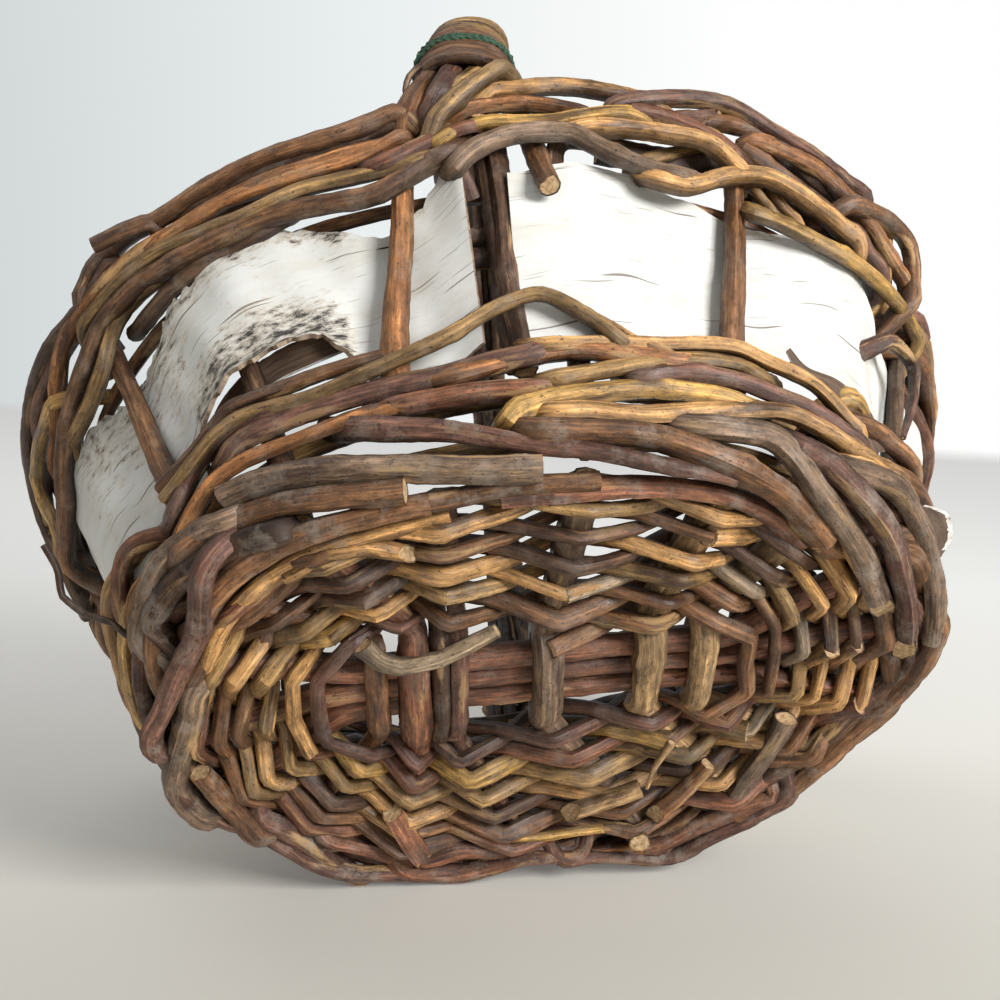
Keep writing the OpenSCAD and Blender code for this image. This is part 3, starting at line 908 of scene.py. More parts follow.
chance = np.random.default_rng(23)
WARM = "brown tan orange red yellow brown plum tan grey olive"
THICK = "plum brown plum red grey"
FRONT_RODS = {
    "upsett_a": [
        seen_rod([(222, 500), (245, 489), (283, 479), (321, 472), (400, 471), (470, 471), (541, 468)], 8,
                 8.6, 7.8, "grey", (0, 0)),
        seen_rod([(178, 560), (207, 533), (245, 516), (279, 506), (321, 502), (360, 497), (402, 492)], 8,
                 7, 7, "brown", (1, 0)),
        seen_rod([(534, 431), (591, 431), (649, 435), (700, 449), (737, 463), (775, 488), (803, 512),
                  (825, 540)], 10, 7.6, 8.4, "brown", (1, 0)),
        edge_rod([(196, 640), (208, 605), (235, 573), (275, 548), (320, 529), (372, 514), (430, 503)], 7,
                 7.4, 6.4, "brown"),
        edge_rod([(500, 497), (560, 492), (620, 488), (680, 488), (730, 497), (772, 518), (800, 545)], 8,
                 6.4, 5.6, "red")],
    "upsett_b": [
        seen_rod([(155, 625), (162, 605), (178, 582), (207, 562), (237, 546), (275, 536)], 8, 8.4, 7.2,
                 "dark", (1, 1)),
        edge_rod([(205, 668), (222, 628), (252, 594), (292, 566), (340, 545), (392, 529), (450, 516)], 8,
                 6.2, 5.6, "tan"),
        edge_rod([(380, 508), (440, 500), (500, 489), (545, 484), (600, 480)], 7, 5.6, 5.2, "brown"),
        seen_rod([(354, 430), (400, 431), (450, 432), (507, 443), (545, 448), (591, 451), (649, 462),
                  (700, 471), (735, 480)], 8, 7.6, 4.5, "plum", (1, 0)),
        seen_rod([(689, 426), (737, 432), (775, 438), (798, 458), (818, 490), (842, 523), (864, 560),
                  (880, 602)], 10.5, 7.6, 8, "grey", (1, 0), slanted=True)],
    "upsett_c": [
        seen_rod([(146, 640), (148, 610), (156, 582), (170, 557), (200, 536), (232, 521)], 8, 9, 8,
                 "grey", (1, 1)),
        seen_rod([(800, 448), (825, 462), (848, 482), (872, 508), (892, 540), (904, 580), (907, 610),
                  (905, 640)], 11, 7.6, 8.2, "plum", (1, 0), slanted=True),
        seen_rod([(851, 472), (885, 482), (908, 500), (916, 540), (928, 582), (937, 610), (932, 640)], 11,
                 7, 8, "grey", (1, 0))],
    "lower_1a": [
        seen_rod([(226, 462), (237, 444), (264, 430), (302, 415), (340, 403), (379, 390), (430, 379),
                  (477, 366), (545, 352)], 7.5, 6.8, 6, "plum", (1, 1)),
        seen_rod([(507, 424), (519, 411), (553, 400), (591, 394), (649, 389), (700, 393), (727, 398),
                  (752, 408)], 8, 6.4, 5.4, "yellow")],
    "lower_1b": [
        seen_rod([(176, 548), (193, 513), (214, 482), (245, 461), (283, 446), (321, 430), (360, 415),
                  (400, 406)], 8, 5.2, 4.2, "orange", (1, 0)),
        seen_rod([(549, 413), (591, 411), (649, 417), (708, 412), (756, 411), (790, 413), (823, 430),
                  (851, 450), (880, 464), (912, 479)], 9, 6, 6, "tan", (1, 1))],
    "lower_1c": [
        seen_rod([(174, 516), (186, 484), (201, 457), (220, 437), (245, 422), (275, 411)], 8, 6.2, 5.6,
                 "plum"),
        seen_rod([(395, 408), (438, 399), (477, 393), (545, 389)], 7, 6, 6.4, "red")],
    "lower_2a": [
        seen_rod([(162, 502), (193, 464), (216, 438), (245, 418), (302, 400), (340, 384), (388, 364),
                  (438, 340), (484, 314), (522, 299), (543, 296), (572, 309), (601, 323), (624, 342)], 10,
                 4.8, 5.2, "olive", (0, 1)),
        seen_rod([(640, 377), (676, 376), (708, 378), (746, 385), (775, 396), (813, 411), (842, 432),
                  (862, 448)], 8.5, 5.6, 6, "plum")],
    "lower_2b": [
        seen_rod([(160, 492), (187, 460), (203, 441), (226, 413), (249, 402), (293, 386), (321, 376),
                  (366, 363)], 7, 5.4, 4.6, "brown", (0, 1)),
        seen_rod([(440, 382), (500, 365), (549, 354), (591, 352), (640, 357), (690, 364)], 8, 5.8, 5.4,
                 "orange"),
        seen_rod([(538, 347), (591, 345), (660, 347), (717, 346), (744, 348), (767, 362), (805, 378),
                  (826, 393), (851, 422), (862, 440)], 8.5, 5.2, 4.4, "tan")],
    "lower_2c": [
        seen_rod([(549, 380), (591, 373), (649, 365), (700, 364), (742, 367), (762, 378)], 8, 5.6, 5.2,
                 "olive"),
        seen_rod([(575, 308), (612, 326), (640, 344), (668, 352)], 8, 4.4, 4, "tan")],
}
FRONT_RODS.update({
    "upper_1a": [
        seen_rod([(455, 151), (425, 167), (395, 184), (364, 197), (301, 210), (250, 225), (199, 248),
                  (160, 274), (135, 288), (100, 324), (91, 356), (79, 387), (70, 422), (64, 443),
                  (62, 471), (64, 506), (72, 532), (85, 567)], 8, 6.4, 6, "brown"),
        seen_rod([(453, 169), (466, 154), (486, 144), (511, 136), (536, 133), (569, 133), (581, 138),
                  (602, 149), (630, 162), (660, 173), (687, 179)], 10, 7.2, 5.4, "grey")],
    "upper_1b": [
        seen_rod([(270, 228), (234, 248), (199, 269), (173, 289), (150, 316)], 3, 6.4, 6, "dark"),
        seen_rod([(757, 214), (781, 224), (819, 244), (851, 261), (876, 284), (903, 311), (914, 329),
                  (914, 348)], 8, 6, 5.6, "yellow"),
        seen_rod([(563, 136), (576, 132), (595, 130), (632, 131), (669, 136), (704, 142), (724, 155),
                  (744, 174)], 9, 6.4, 5.8, "tan", (0, 1))],
    "upper_1c": [
        seen_rod([(652, 179), (689, 187), (719, 179), (744, 177), (769, 179), (794, 192), (819, 209),
                  (844, 229), (859, 249)], 9.5, 5.6, 6.4, "tan"),
        seen_rod([(160, 276), (133, 297), (116, 318), (108, 343), (104, 372), (93, 402), (77, 425),
                  (72, 448)], 5, 6, 6.2, "olive")],
    "upper_2a": [
        seen_rod([(425, 158), (395, 168), (352, 178), (295, 193), (250, 214), (199, 234), (155, 254),
                  (122, 281), (97, 309), (84, 335)], 8.5, 5.6, 5.2, "olive"),
        seen_rod([(433, 145), (450, 134), (486, 124), (519, 122), (552, 123), (577, 119), (610, 114),
                  (638, 117)], 9, 4.8, 5.6, "yellow")],
    "upper_2b": [
        seen_rod([(377, 149), (313, 166), (262, 184), (214, 207), (173, 233), (135, 258), (109, 284),
                  (83, 314), (66, 337), (60, 366), (58, 395), (62, 418), (58, 444), (57, 471)], 7.5, 5.8,
                 6.2, "orange"),
        seen_rod([(632, 112), (669, 120), (699, 132), (724, 147), (744, 163)], 8.5, 5.6, 5, "red"),
        seen_rod([(744, 152), (769, 169), (794, 187), (821, 209), (841, 229), (858, 252)], 7, 6.6, 6,
                 "brown"),
        seen_rod([(851, 230), (868, 254), (885, 278)], 8, 5.6, 5.4, "plum"),
        seen_rod([(648, 119), (690, 122), (719, 118)], 5, 5.6, 6.4, "plum", (1, 0), slanted=True),
        seen_rod([(700, 126), (735, 127), (765, 137), (792, 155)], 5, 6.4, 6.2, "brown"),
        seen_rod([(742, 192), (772, 206), (805, 226), (838, 250)], -3, 8, 8, "dark", (0, 0)),
        seen_rod([(753, 190), (766, 204), (779, 220)], 3, 3.6, 3.4, "tan"),
        seen_rod([(772, 194), (785, 210), (799, 227)], 3, 3.8, 3.4, "tan")],
    "upper_2c": [
        seen_rod([(463, 113), (503, 106), (536, 105), (569, 109), (590, 116)], 7, 5.4, 5.2, "orange"),
        seen_rod([(62, 400), (54, 420), (43, 445), (39, 475), (45, 500), (58, 529), (77, 563)], 8, 5, 5.4,
                 "yellow"),
        seen_rod([(370, 168), (403, 152), (428, 141), (448, 134), (472, 128)], 9.5, 5.8, 4.8, "red"),
        seen_rod([(709, 132), (729, 145), (743, 160)], 9, 3.4, 4, "olive"),
        seen_rod([(645, 162), (680, 154), (716, 147)], -1, 5, 5, "olive"),
        seen_rod([(620, 152), (660, 161), (698, 166), (738, 166)], -5, 9, 9, "dark"),
        seen_rod([(888, 234), (887, 260), (886, 290)], 6, 3.2, 3.4, "yellow")],
})
BACK_FIRST, BACK_LAST = 3, 15
BACK_UPSETT_RISE, BACK_UPSETT_D = 4.5 * MM, UPSETT_D * 0.7
FRONT_RODS["upsett_a"] += [
    edge_rod([(173, 783), (207, 813), (249, 829), (281, 845), (315, 864), (350, 873), (384, 874),
              (441, 872), (480, 868)], 5, 5.8, 5.4, "plum", (1, 1)),
    edge_rod([(320, 834), (350, 845), (379, 852), (414, 861), (446, 868)], 7.5, 5.8, 5.4, "red", (1, 1)),
    edge_rod([(938, 622), (930, 650), (905, 684), (878, 712), (850, 738), (820, 764), (790, 788),
              (762, 805), (738, 814)], 6, 7.4, 6.6, "brown", (1, 1))]
FRONT_RODS["upsett_b"] += [
    edge_rod([(258, 813), (285, 829), (315, 850), (340, 866), (365, 874)], 7.5, 8, 7, "plum", (1, 1)),
    edge_rod([(420, 858), (461, 850), (506, 850), (551, 850), (575, 848)], 7.5, 6.6, 6, "red", (1, 1)),
    edge_rod([(915, 650), (893, 680), (860, 703), (835, 726), (810, 748), (775, 771), (741, 793),
              (715, 808)], 9, 8, 7.4, "dark", (1, 1)),
    edge_rod([(775, 794), (762, 801), (733, 810), (701, 823), (669, 838), (645, 846)], 6, 6.8, 6.4, "red",
             (1, 1))]
FRONT_RODS["upsett_c"] += [
    edge_rod([(205, 574), (198, 632), (180, 669), (164, 705), (151, 733), (160, 752)], 5, 8.2, 7.6,
             "plum", (1, 1)),
    edge_rod([(196, 690), (193, 714), (182, 747), (174, 777), (180, 796), (207, 815)], 5, 9, 8, "grey",
             (1, 1)),
    edge_rod([(200, 772), (223, 799), (244, 822), (262, 838)], 4.5, 7.6, 7, "brown", (0, 1)),
    edge_rod([(400, 870), (437, 875), (467, 872), (498, 864), (522, 858), (551, 856), (580, 853)], 4.5,
             5.8, 5.4, "red", (1, 1)),
    edge_rod([(583, 855), (604, 851), (641, 846), (668, 842)], 6.5, 5.8, 5.8, "orange", (0, 1)),
    edge_rod([(560, 857), (590, 857), (625, 856), (655, 857), (678, 854), (706, 840), (733, 827),
              (765, 809), (790, 792)], 4.5, 6, 6.4, "plum", (1, 1))]
RIM_LAST = 13
INNER_DEPTH = 7.8 * MM
INNER_DROP = -4 * MM, 3 * MM
INNER_TURNS = np.arange(-134, -40, 6), np.arange(-118, -58, 6)
FRONT_TURNS = np.arange(stake_turn(RIM_LAST - STAKE_COUNT), stake_turn(BACK_FIRST), 6)


def inner_rod(z, d, tone, turns=FRONT_TURNS):
    """A rod that lies inside the front stakes."""
    return Rod([wall(t, z, -INNER_DEPTH) for t in turns], d, d * 0.8, tone)


for k, letter in enumerate("abc"):
    back_z = upsett_z + BACK_UPSETT_RISE
    rods = wale_rods(k, back_z, BACK_UPSETT_D, 0, BACK_FIRST, BACK_LAST, chance, THICK, 2)
    draw_rods(f"upsett_willow_{letter}", rods + FRONT_RODS[f"upsett_{letter}"], f"upsett_rod_{letter}",
              weathered_willow, seed=200 + k)
for row in range(2):
    FRONT_RODS[f"upper_{row + 1}a"].append(inner_rod(upper_z[row], UPPER_D, "brown"))
    # Painted shade: a thick rod of the dark tone inside the front stakes, just above the bark, seen only
    # through the gaps, where it stands for the shade inside the basket.
    painted_shade_rod = inner_rod(upper_foot - INNER_DROP[row], UPPER_D * 1.5, "dark", INNER_TURNS[row])
    FRONT_RODS[f"upper_{row + 1}b"].append(painted_shade_rod)
    FRONT_RODS[f"lower_{row + 1}a"].append(inner_rod(lower_z[row], LOWER_D, "olive"))
    for k, letter in enumerate("abc"):
        rods = wale_rods(k, lower_z[row], LOWER_D, 1, BACK_FIRST - 1, BACK_LAST, chance, WARM, 2)
        rods += FRONT_RODS[f"lower_{row + 1}{letter}"]
        draw_rods(f"lower_willow_{row + 1}{letter}", rods, f"lower_wale_{row + 1}_rod_{letter}",
                  satin_willow, seed=210 + row * 3 + k)
        rods = wale_rods(k, upper_z[row] + UPPER_RISE[row], UPPER_D, 2, BACK_FIRST, RIM_LAST, chance, WARM,
                         2)
        rods += along_rim(FRONT_RODS[f"upper_{row + 1}{letter}"])
        draw_rods(f"upper_willow_{row + 1}{letter}", rods, f"upper_wale_{row + 1}_rod_{letter}",
                  satin_willow, seed=220 + row * 3 + k)
print(len(FRONT_RODS), "rings of waling, with", sum(map(len, FRONT_RODS.values())), "drawn front rods")

# %% [markdown]
# ## Base
# Thick cross sticks are slit and three long sticks pass through them. Two weavers then go round in a pair:
# where one passes over a stick the other passes under it, and they change places before the next.

# %% Base sticks
CROSS_X = [x * MM for x in (-54, -42, -31, 0, 33, 51)]
CROSS_D = [d * MM for d in (6.8, 10.6, 11, 10.8, 10, 9.8)]
CROSS_TONES = ("brown", "red", "plum", "grey", "buff", "buff")
LONG_D, LONG_STEP, WEAVER_D = 9 * MM, 8.8 * MM, 5.3 * MM
PAIR_STICK = 2
SLIT_OPEN = 5 * MM
FRONT_BEND = [y * MM for y in (-20, -24, -24, -18, -22, -22)]
BACK_BEND = [y * MM for y in (22, 27, 28, 22, 20, 20)]
CROSS_FRONT = (15, 16, 17, 0, 1, 2)
CROSS_BACK = (11, 10, 9, 8, 7, 6)
LONG_RIGHT, LONG_LEFT = (3, 4, 5), (14, 13, 12)
slath_half = LONG_STEP * 1.5
SLATH_Z, EDGE_Z = 15.2 * MM, 11.5 * MM
STICK_SHORT, LONG_OVERHANG = 2 * MM, 6 * MM


def stick_end(j):
    return wall(stake_turn(j), EDGE_Z, -STAKE_D / 2 - CLEAR - STICK_SHORT)


def cross_bend(k, side):
    return np.array([CROSS_X[k], (BACK_BEND if side > 0 else FRONT_BEND)[k], SLATH_Z])


def long_bend(k, side):
    x = max(CROSS_X) + LONG_OVERHANG if side > 0 else min(CROSS_X) - LONG_OVERHANG
    return np.array([x, (k - 1) * LONG_STEP, SLATH_Z])


def along_rib(root, end, share):
    """A point of a stick that bends down towards the edge."""
    point = root + (end - root) * share
    point[2] = SLATH_Z + (EDGE_Z - SLATH_Z) * share ** 2
    return point


def stick_line(bends, ends):
    """From one end of a stick over its two bends to the other end."""
    line = [along_rib(bends[0], ends[0], share) for share in (1, 0.5, 0)]
    return line + [along_rib(bends[1], ends[1], share) for share in (0, 0.5, 1)]


for k, (d, tone) in enumerate(zip(CROSS_D, CROSS_TONES)):
    ends = [stick_end(CROSS_FRONT[k]), stick_end(CROSS_BACK[k])]
    line = stick_line([cross_bend(k, -1), cross_bend(k, 1)], ends)
    slit = [np.array([CROSS_X[k], side * slath_half, SLATH_Z]) for side in (-1, 1)]
    line = np.array(line[:3] + [end - [0, 0, SLIT_OPEN] for end in slit] + line[3:])
    upper_half = [line[2]] + [end + [0, 0, LONG_D - SLIT_OPEN + d * 0.3] for end in slit] + [line[5]]
    rods = [Rod(line, d, d * 0.95, tone), Rod(upper_half, d * 0.8, d * 0.8, tone)]
    if k == PAIR_STICK:
        half = np.array([d * 0.27, 0, 0])
        pair = [Rod(line + half, d * 0.54, d * 0.5, tone), Rod(line - half, d * 0.52, d * 0.55, "dark")]
        rods = pair + rods[1:]
    draw_rods(f"cross_stick_{k + 1}", rods, f"base_cross_stick_{k + 1}", satin_willow,
              seed=300 + k, wander=0.2 * MM, stiff=0.6)
for k in range(3):
    ends = [stick_end(LONG_LEFT[k]), stick_end(LONG_RIGHT[k])]
    line = stick_line([long_bend(k, -1), long_bend(k, 1)], ends)
    draw_rods(f"long_stick_{k + 1}", [Rod(line, LONG_D, LONG_D * 0.9, "red")], f"base_long_stick_{k + 1}",
              satin_willow, seed=310 + k, wander=0.3 * MM, stiff=0.6)
print(len(CROSS_D), "cross sticks and 3 long sticks")

# %% [markdown]
# ## Pairing
# A weaver lasts for six to eleven sticks, and then the next one is laid in at its tip. In the first two rounds
# the three long sticks are taken together, and after that one by one. A few cut ends stand out below.

# %% Base weavers
BASE_ROUNDS = 6
weave_steps = BASE_ROUNDS * STAKE_COUNT
EDGE_STEP = 5.4 * STAKE_COUNT
EDGE_ROOM = 1 * MM
LONG_START = 7 * MM
unevenness = np.random.default_rng(41).normal(0, 0.8 * MM, weave_steps + 2)


def rib(j):
    """Start and end of the stick that meets stake j, its thickness and where the weave begins on it."""
    j %= STAKE_COUNT
    if j in CROSS_FRONT:
        k = CROSS_FRONT.index(j)
        return cross_bend(k, -1), stick_end(j), CROSS_D[k], 0
    if j in CROSS_BACK:
        k = CROSS_BACK.index(j)
        return cross_bend(k, 1), stick_end(j), CROSS_D[k], 0
    if j in LONG_RIGHT:
        return long_bend(LONG_RIGHT.index(j), 1), stick_end(j), LONG_D, LONG_START
    return long_bend(LONG_LEFT.index(j), -1), stick_end(j), LONG_D, LONG_START


def rib_at(m):
    """Where step m of the weave crosses its stick: a little further out on every round."""
    root, end, _, room = rib(m)
    length = np.linalg.norm(end - root)
    start = room / length
    stop = 1 - EDGE_ROOM / length
    return along_rib(root, end, start + (stop - start) * min(1, m / EDGE_STEP) + unevenness[m] / length)


def joined(m):
    """Whether the weave turns over at step m, so that the three long sticks are taken together."""
    place = m % STAKE_COUNT
    is_long = place in LONG_RIGHT or place in LONG_LEFT
    middle = place in (LONG_RIGHT[1], LONG_LEFT[1])
    turns = m // STAKE_COUNT
    return is_long and (not middle if turns == 0 else middle and turns == 1)


def over(m, s):
    """1 where weaver s passes inside the stick at step m, and -1 where it passes below."""
    return (-1) ** (m + s + (1 if joined(m) else 0))


def weaver_points(m, s):
    """Way points of weaver s at step m, and half way to the next stick where the pair changes places."""
    thick = rib(m)[2]
    lift = over(m, s) * (thick + WEAVER_D) / 2
    here = rib_at(m) + np.array([0, 0, lift])
    step = rib_at(m + 1) - rib_at(m)
    out = np.array([step[1], -step[0], 0]) / np.linalg.norm(step[:2])
    if over(m, s) == over(m + 1, s):
        return [here]
    return [here, (rib_at(m) + rib_at(m + 1)) / 2 + out * over(m, s) * WEAVER_D * 0.5]


SHORT_RODS = {
    "a": [edge_rod([(362, 645), (380, 660), (400, 665), (440, 658), (470, 645), (497, 630)], 7.5, 6.4,
                   4.6, "ash"),
          edge_rod([(285, 578), (325, 555), (365, 548), (399, 552)], 6, 4.6, 5.8, "tan", slanted=True),
          edge_rod([(786, 718), (760, 760), (736, 795)], 6, 7.6, 7.2, "grey"),
          edge_rod([(505, 838), (545, 836), (601, 829)], 6, 3.4, 3.4, "yellow", slanted=True)],
    "b": [edge_rod([(640, 788), (610, 798), (579, 808)], 5, 6.6, 7, "buff", slanted=True),
          edge_rod([(708, 764), (685, 788), (661, 809)], 5, 5.6, 6.2, "orange", slanted=True),
          edge_rod([(392, 812), (407, 836), (422, 857)], 5.5, 8.2, 8.6, "red", slanted=True),
          edge_rod([(672, 742), (655, 765), (647, 788)], 5, 3.4, 1.4, "buff")],
}
INNER_TONES = ("brown", "plum")
chance = np.random.default_rng(37)
for s, letter in enumerate("ab"):
    rods, start = [], 0
    while start < weave_steps - 6:
        stop = min(start + int(chance.integers(6, 12)), weave_steps - 1)
        line = [p for m in range(start, stop) for p in weaver_points(m, s)]
        tone = pick(chance, "tan yellow olive brown brown tan red dark ash brown plum orange")
        if start < STAKE_COUNT:
            tone = INNER_TONES[len(rods) % 2]
        butt, tip = WEAVER_D * chance.uniform(0.9, 1.4), WEAVER_D * chance.uniform(0.7, 1.1)
        rods.append(Rod(line, butt, tip, tone))
        start = stop - 1
    draw_rods(f"base_pair_{letter}", rods + SHORT_RODS[letter], f"base_weaver_{letter}",
              satin_willow, seed=320 + s, wander=0.5 * MM, stiff=0.92)
print("base with", BASE_ROUNDS, "rounds of pairing")

# %% [markdown]
# ## Handle
# The bow and the two side rods, each of two strands, run from wall to wall in a flat arch. They lie side by
# side at the feet and draw together into a round bundle. A thin rod is wound round each foot, and a green
# cord over the front one.

# %% Handle
HANDLE_RISE, HANDLE_STEM, HANDLE_LEAN = 135 * MM, 7 * MM, 12 * MM
ARCH_POWER = 2.6
FOOT_SWAY, SWAY_ANGLE, SWAY_WIDTH = 5 * MM, 25, 20
TIGHTEN, TIGHT_LENGTH = 0.4, 48 * MM
BUNDLE_DEPTH = 4.4 * MM
PARTS = 24
arch_z = border_top + HANDLE_STEM
arch_front, arch_back = wall(LEG_TURN, arch_z), wall(LEG_TURN + 180, arch_z)


def arch(angle):
    """A point of the handle's middle line, from 0 degrees in front to 180 at the back."""
    f = math.radians(angle)
    lean = (1 - math.cos(f)) / 2
    sway = FOOT_SWAY * math.exp(-((angle - SWAY_ANGLE) / SWAY_WIDTH) ** 2)
    return np.array([
        arch_front[0] + (arch_back[0] - arch_front[0]) * lean + HANDLE_LEAN * math.sin(f) + sway,
        arch_front[1] * bulge(math.cos(f), 2 / ARCH_POWER),
        arch_z + HANDLE_RISE * abs(math.sin(f)) ** (2 / ARCH_POWER)])


arch_line, arch_marks = smooth_line([arch(angle) for angle in range(0, 181, 5)])


def arch_at(s):
    return np.array([np.interp(s, arch_marks, arch_line[:, axis]) for axis in range(3)])


def arch_frame(s):
    """Sideways and outwards at a place along the arch."""
    ahead = arch_at(s + MM) - arch_at(s - MM)
    ahead /= np.linalg.norm(ahead)
    across = np.array([1, 0, 0]) - ahead * ahead[0]
    across /= np.linalg.norm(across)
    return across, np.cross(across, ahead)


def tightness(s):
    """The rods lie side by side at the feet and draw together into a round bundle."""
    from_foot = min(s, arch_marks[-1] - s)
    return 1 - TIGHTEN * min(1, from_foot / TIGHT_LENGTH)


def handle_line(side, depth, foot, back_foot):
    """A rod of the bundle: its place sideways and in depth, its drawn foot and its height at the back."""
    back = LEG_TURN + 180 - side * side_turn
    line = list(foot)
    for i in range(1, PARTS):
        s = arch_marks[-1] * i / PARTS
        across, out = arch_frame(s)
        drift = 0.25 * math.sin(i * 0.55 + side * 2 + depth)
        sideways = across * (side + drift) * SIDE_GAP * tightness(s)
        line.append(arch_at(s) + sideways + out * depth * BUNDLE_DEPTH)
    line.append(wall(back, border_top, depth * BUNDLE_DEPTH * 0.6))
    return line + [wall(back, (back_foot + border_top) / 2), wall(back, back_foot, 2 * MM)]


def seen_foot(places):
    """The foot of a handle rod from places of the picture, with how far out each lies."""
    return [on_wall(px, py, out * MM) for px, py, out in places]


bow_foot = row_height(UPSETT_D)
leg = [(526, 372, 0), (517, 320, 1), (509, 260, 1), (502, 200, 0), (495, 157, 0), (486, 120, 0)]
split_leg = [(px - 13, py, out - 1.5) for px, py, out in leg]
bow = [Rod(handle_line(0.3, 0.45, seen_foot(leg), bow_foot), BOW_D * 0.84, BOW_D * 0.75, "dark"),
       Rod(handle_line(-0.35, -0.7, seen_foot(split_leg), bow_foot), BOW_D * 0.5, BOW_D * 0.6, "dark")]
draw_rods("bow", bow, "handle_bow", satin_willow, seed=400)
SIDE_FEET = {
    "left": ([(416, 180, 0), (404, 152, 3), (402, 129, 5), (407, 112, 6), (416, 95, 6)],
             [(470, 200, -2), (461, 178, 2), (440, 150, 1), (428, 125, 5), (433, 104, 7), (443, 85, 8)]),
    "right": ([(452, 152, -1), (447, 118, 4), (454, 92, 6)],
              [(550, 186, 13), (541, 166, 6), (531, 142, 0), (516, 112, 0), (500, 88, 3)]),
}
SIDE_PLACES = {"left": ((-1, 0.3), (-0.45, 0.85)), "right": ((1, 0.75), (0.8, -0.4))}
SIDE_TONES = {"left": ("brown", "plum"), "right": ("olive", "brown")}
for side, label in ((-1, "left"), (1, "right")):
    pair = []
    for number, places in enumerate(SIDE_FEET[label]):
        across, depth = SIDE_PLACES[label][number]
        d = SIDE_ROD_D * (0.95 - 0.1 * number)
        line = handle_line(across, depth, seen_foot(places), upper_foot + 8 * MM * number)
        pair.append(Rod(line, d, d * 0.9, SIDE_TONES[label][number]))
    draw_rods(f"side_rod_{label}", pair, f"handle_side_rod_{label}", satin_willow,
              seed=410 + side, wander=0.3 * MM)


def winding(start, pitch, turns, d, over=0.0):
    """Turns round the bundle, or over what is wound on it."""
    points = []
    for i in range(int(turns * PARTS) + 1):
        s = start + pitch * i / PARTS
        across, out = arch_frame(s)
        wide = SIDE_GAP * tightness(s) + (SIDE_ROD_D + d) / 2 + over
        deep = BUNDLE_DEPTH * 0.8 + (BOW_D * 0.85 + d) / 2 + over
        a = 2 * math.pi * i / PARTS
        around = across * wide * bulge(math.cos(a), 0.9) + out * deep * bulge(math.sin(a), 0.9)
        points.append(arch_at(s) + around)
    return points


LASHING_D, CORD_D = 4.4 * MM, 2.2 * MM
CORD_START, CORD_PITCH = 20 * MM, 2.4 * MM
diagonal = seen_foot([(424, 158, 4), (431, 137, 9), (437, 119, 12), (451, 105, 13), (470, 89, 13.5),
                      (487, 77, 13.5),
                      (501, 69, 12), (513, 80, 6), (514, 98, 0)])
loop = seen_foot([(420, 66, 10), (408, 78, 9), (405, 92, 8), (408, 106, 6)])
front_wrap = [
    Rod(winding(9 * MM, 5 * MM, 6, LASHING_D), LASHING_D * 1.1, LASHING_D * 0.9, "brown"),
    Rod(winding(40 * MM, 5 * MM, 8, LASHING_D), LASHING_D * 1.05, LASHING_D * 0.8, "olive"),
    Rod(diagonal, LASHING_D * 1.5, LASHING_D * 1.35, "olive"),
    Rod(loop, LASHING_D * 0.5, LASHING_D * 0.4, "dark")]
draw_rods("front_wrap", front_wrap, "front_lashing", satin_willow, seed=420,
          wander=0.4 * MM)
back_line = winding(arch_marks[-1] - 30 * MM, 5.2 * MM, 4.5, LASHING_D)
back_wrap = [Rod(back_line, LASHING_D * 1.1, LASHING_D * 0.9, "tan")]
draw_rods("back_wrap", back_wrap, "back_lashing", satin_willow, seed=421, wander=0.4 * MM)


def cord_material():
    """Green garden twine: fine fibres along the strands."""
    material, tree, shader = new_material("green_twine")
    skin = add_node(tree, "ShaderNodeAttribute", attribute_name="skin")
    fibre = stretched_noise(tree, skin, (4000, 4000, 500), 3.0, 0.6)
    tones = ramp(tree, fibre, "Fac", [
        (0.3, linear(22, 42, 32)), (0.5, linear(48, 84, 62)), (0.72, linear(106, 138, 110))])
    join(tree, tones, "Color", shader, "Base Color")
    shader.inputs["Roughness"].default_value = 0.75
    bump(tree, shader, fibre, "Fac", 0.6, 0.2)
    return material


def twisted(line, radius, pitch, phase):
    """One strand of a cord that is twisted round a line."""
    centre, marks = smooth_line(line, 0.0, 0.6 * MM)
    ahead = np.gradient(centre, axis=0)
    ahead /= np.linalg.norm(ahead, axis=1)[:, None]
    across = np.cross(ahead, [0.3, 0.2, 0.93])
    across /= np.linalg.norm(across, axis=1)[:, None]
    third = np.cross(ahead, across)
    angle = (marks / pitch * 2 * math.pi + phase)[:, None]
    return centre + radius * (np.cos(angle) * across + np.sin(angle) * third)


green_twine = cord_material()
cord_line = winding(CORD_START, CORD_PITCH, 1.9, CORD_D, LASHING_D * 0.85)
STRAND_D = CORD_D * 0.56
strand_lines = [twisted(cord_line, CORD_D * 0.25, 5 * MM, phase) for phase in (0, math.pi)]
strands = [Rod(line, STRAND_D, STRAND_D, "olive") for line in strand_lines]
draw_rods("green_twine", strands, "green_cord", green_twine, seed=422, wander=0.0)
print("handle arch", round(arch_marks[-1] / MM), "mm long")

# %% [markdown]
# ## Birch bark
# The bark is a thin stiff sheet laid outside one stake and inside the next. It starts as a grid, every
# point of which is put in its place on the wall, and gets its thickness from a Solidify modifier.

# %% Birch bark
BARK_T = 1.3 * MM
bark_swing = STAKE_D / 2 + BARK_T / 2 + CLEAR
ROLL_RADIUS = 13 * MM
ROLL_TAIL = 9 * MM
SCAB_WEIGHT = 0.25
END_CURL_TURNS = 7
WALL_RADIUS = 0.13
STRIP_GRID, SCRAP_GRID = (420, 48), (40, 16)
SCRAP_SIZE, SCRAP_T = (0.06, 0.012), 0.9 * MM


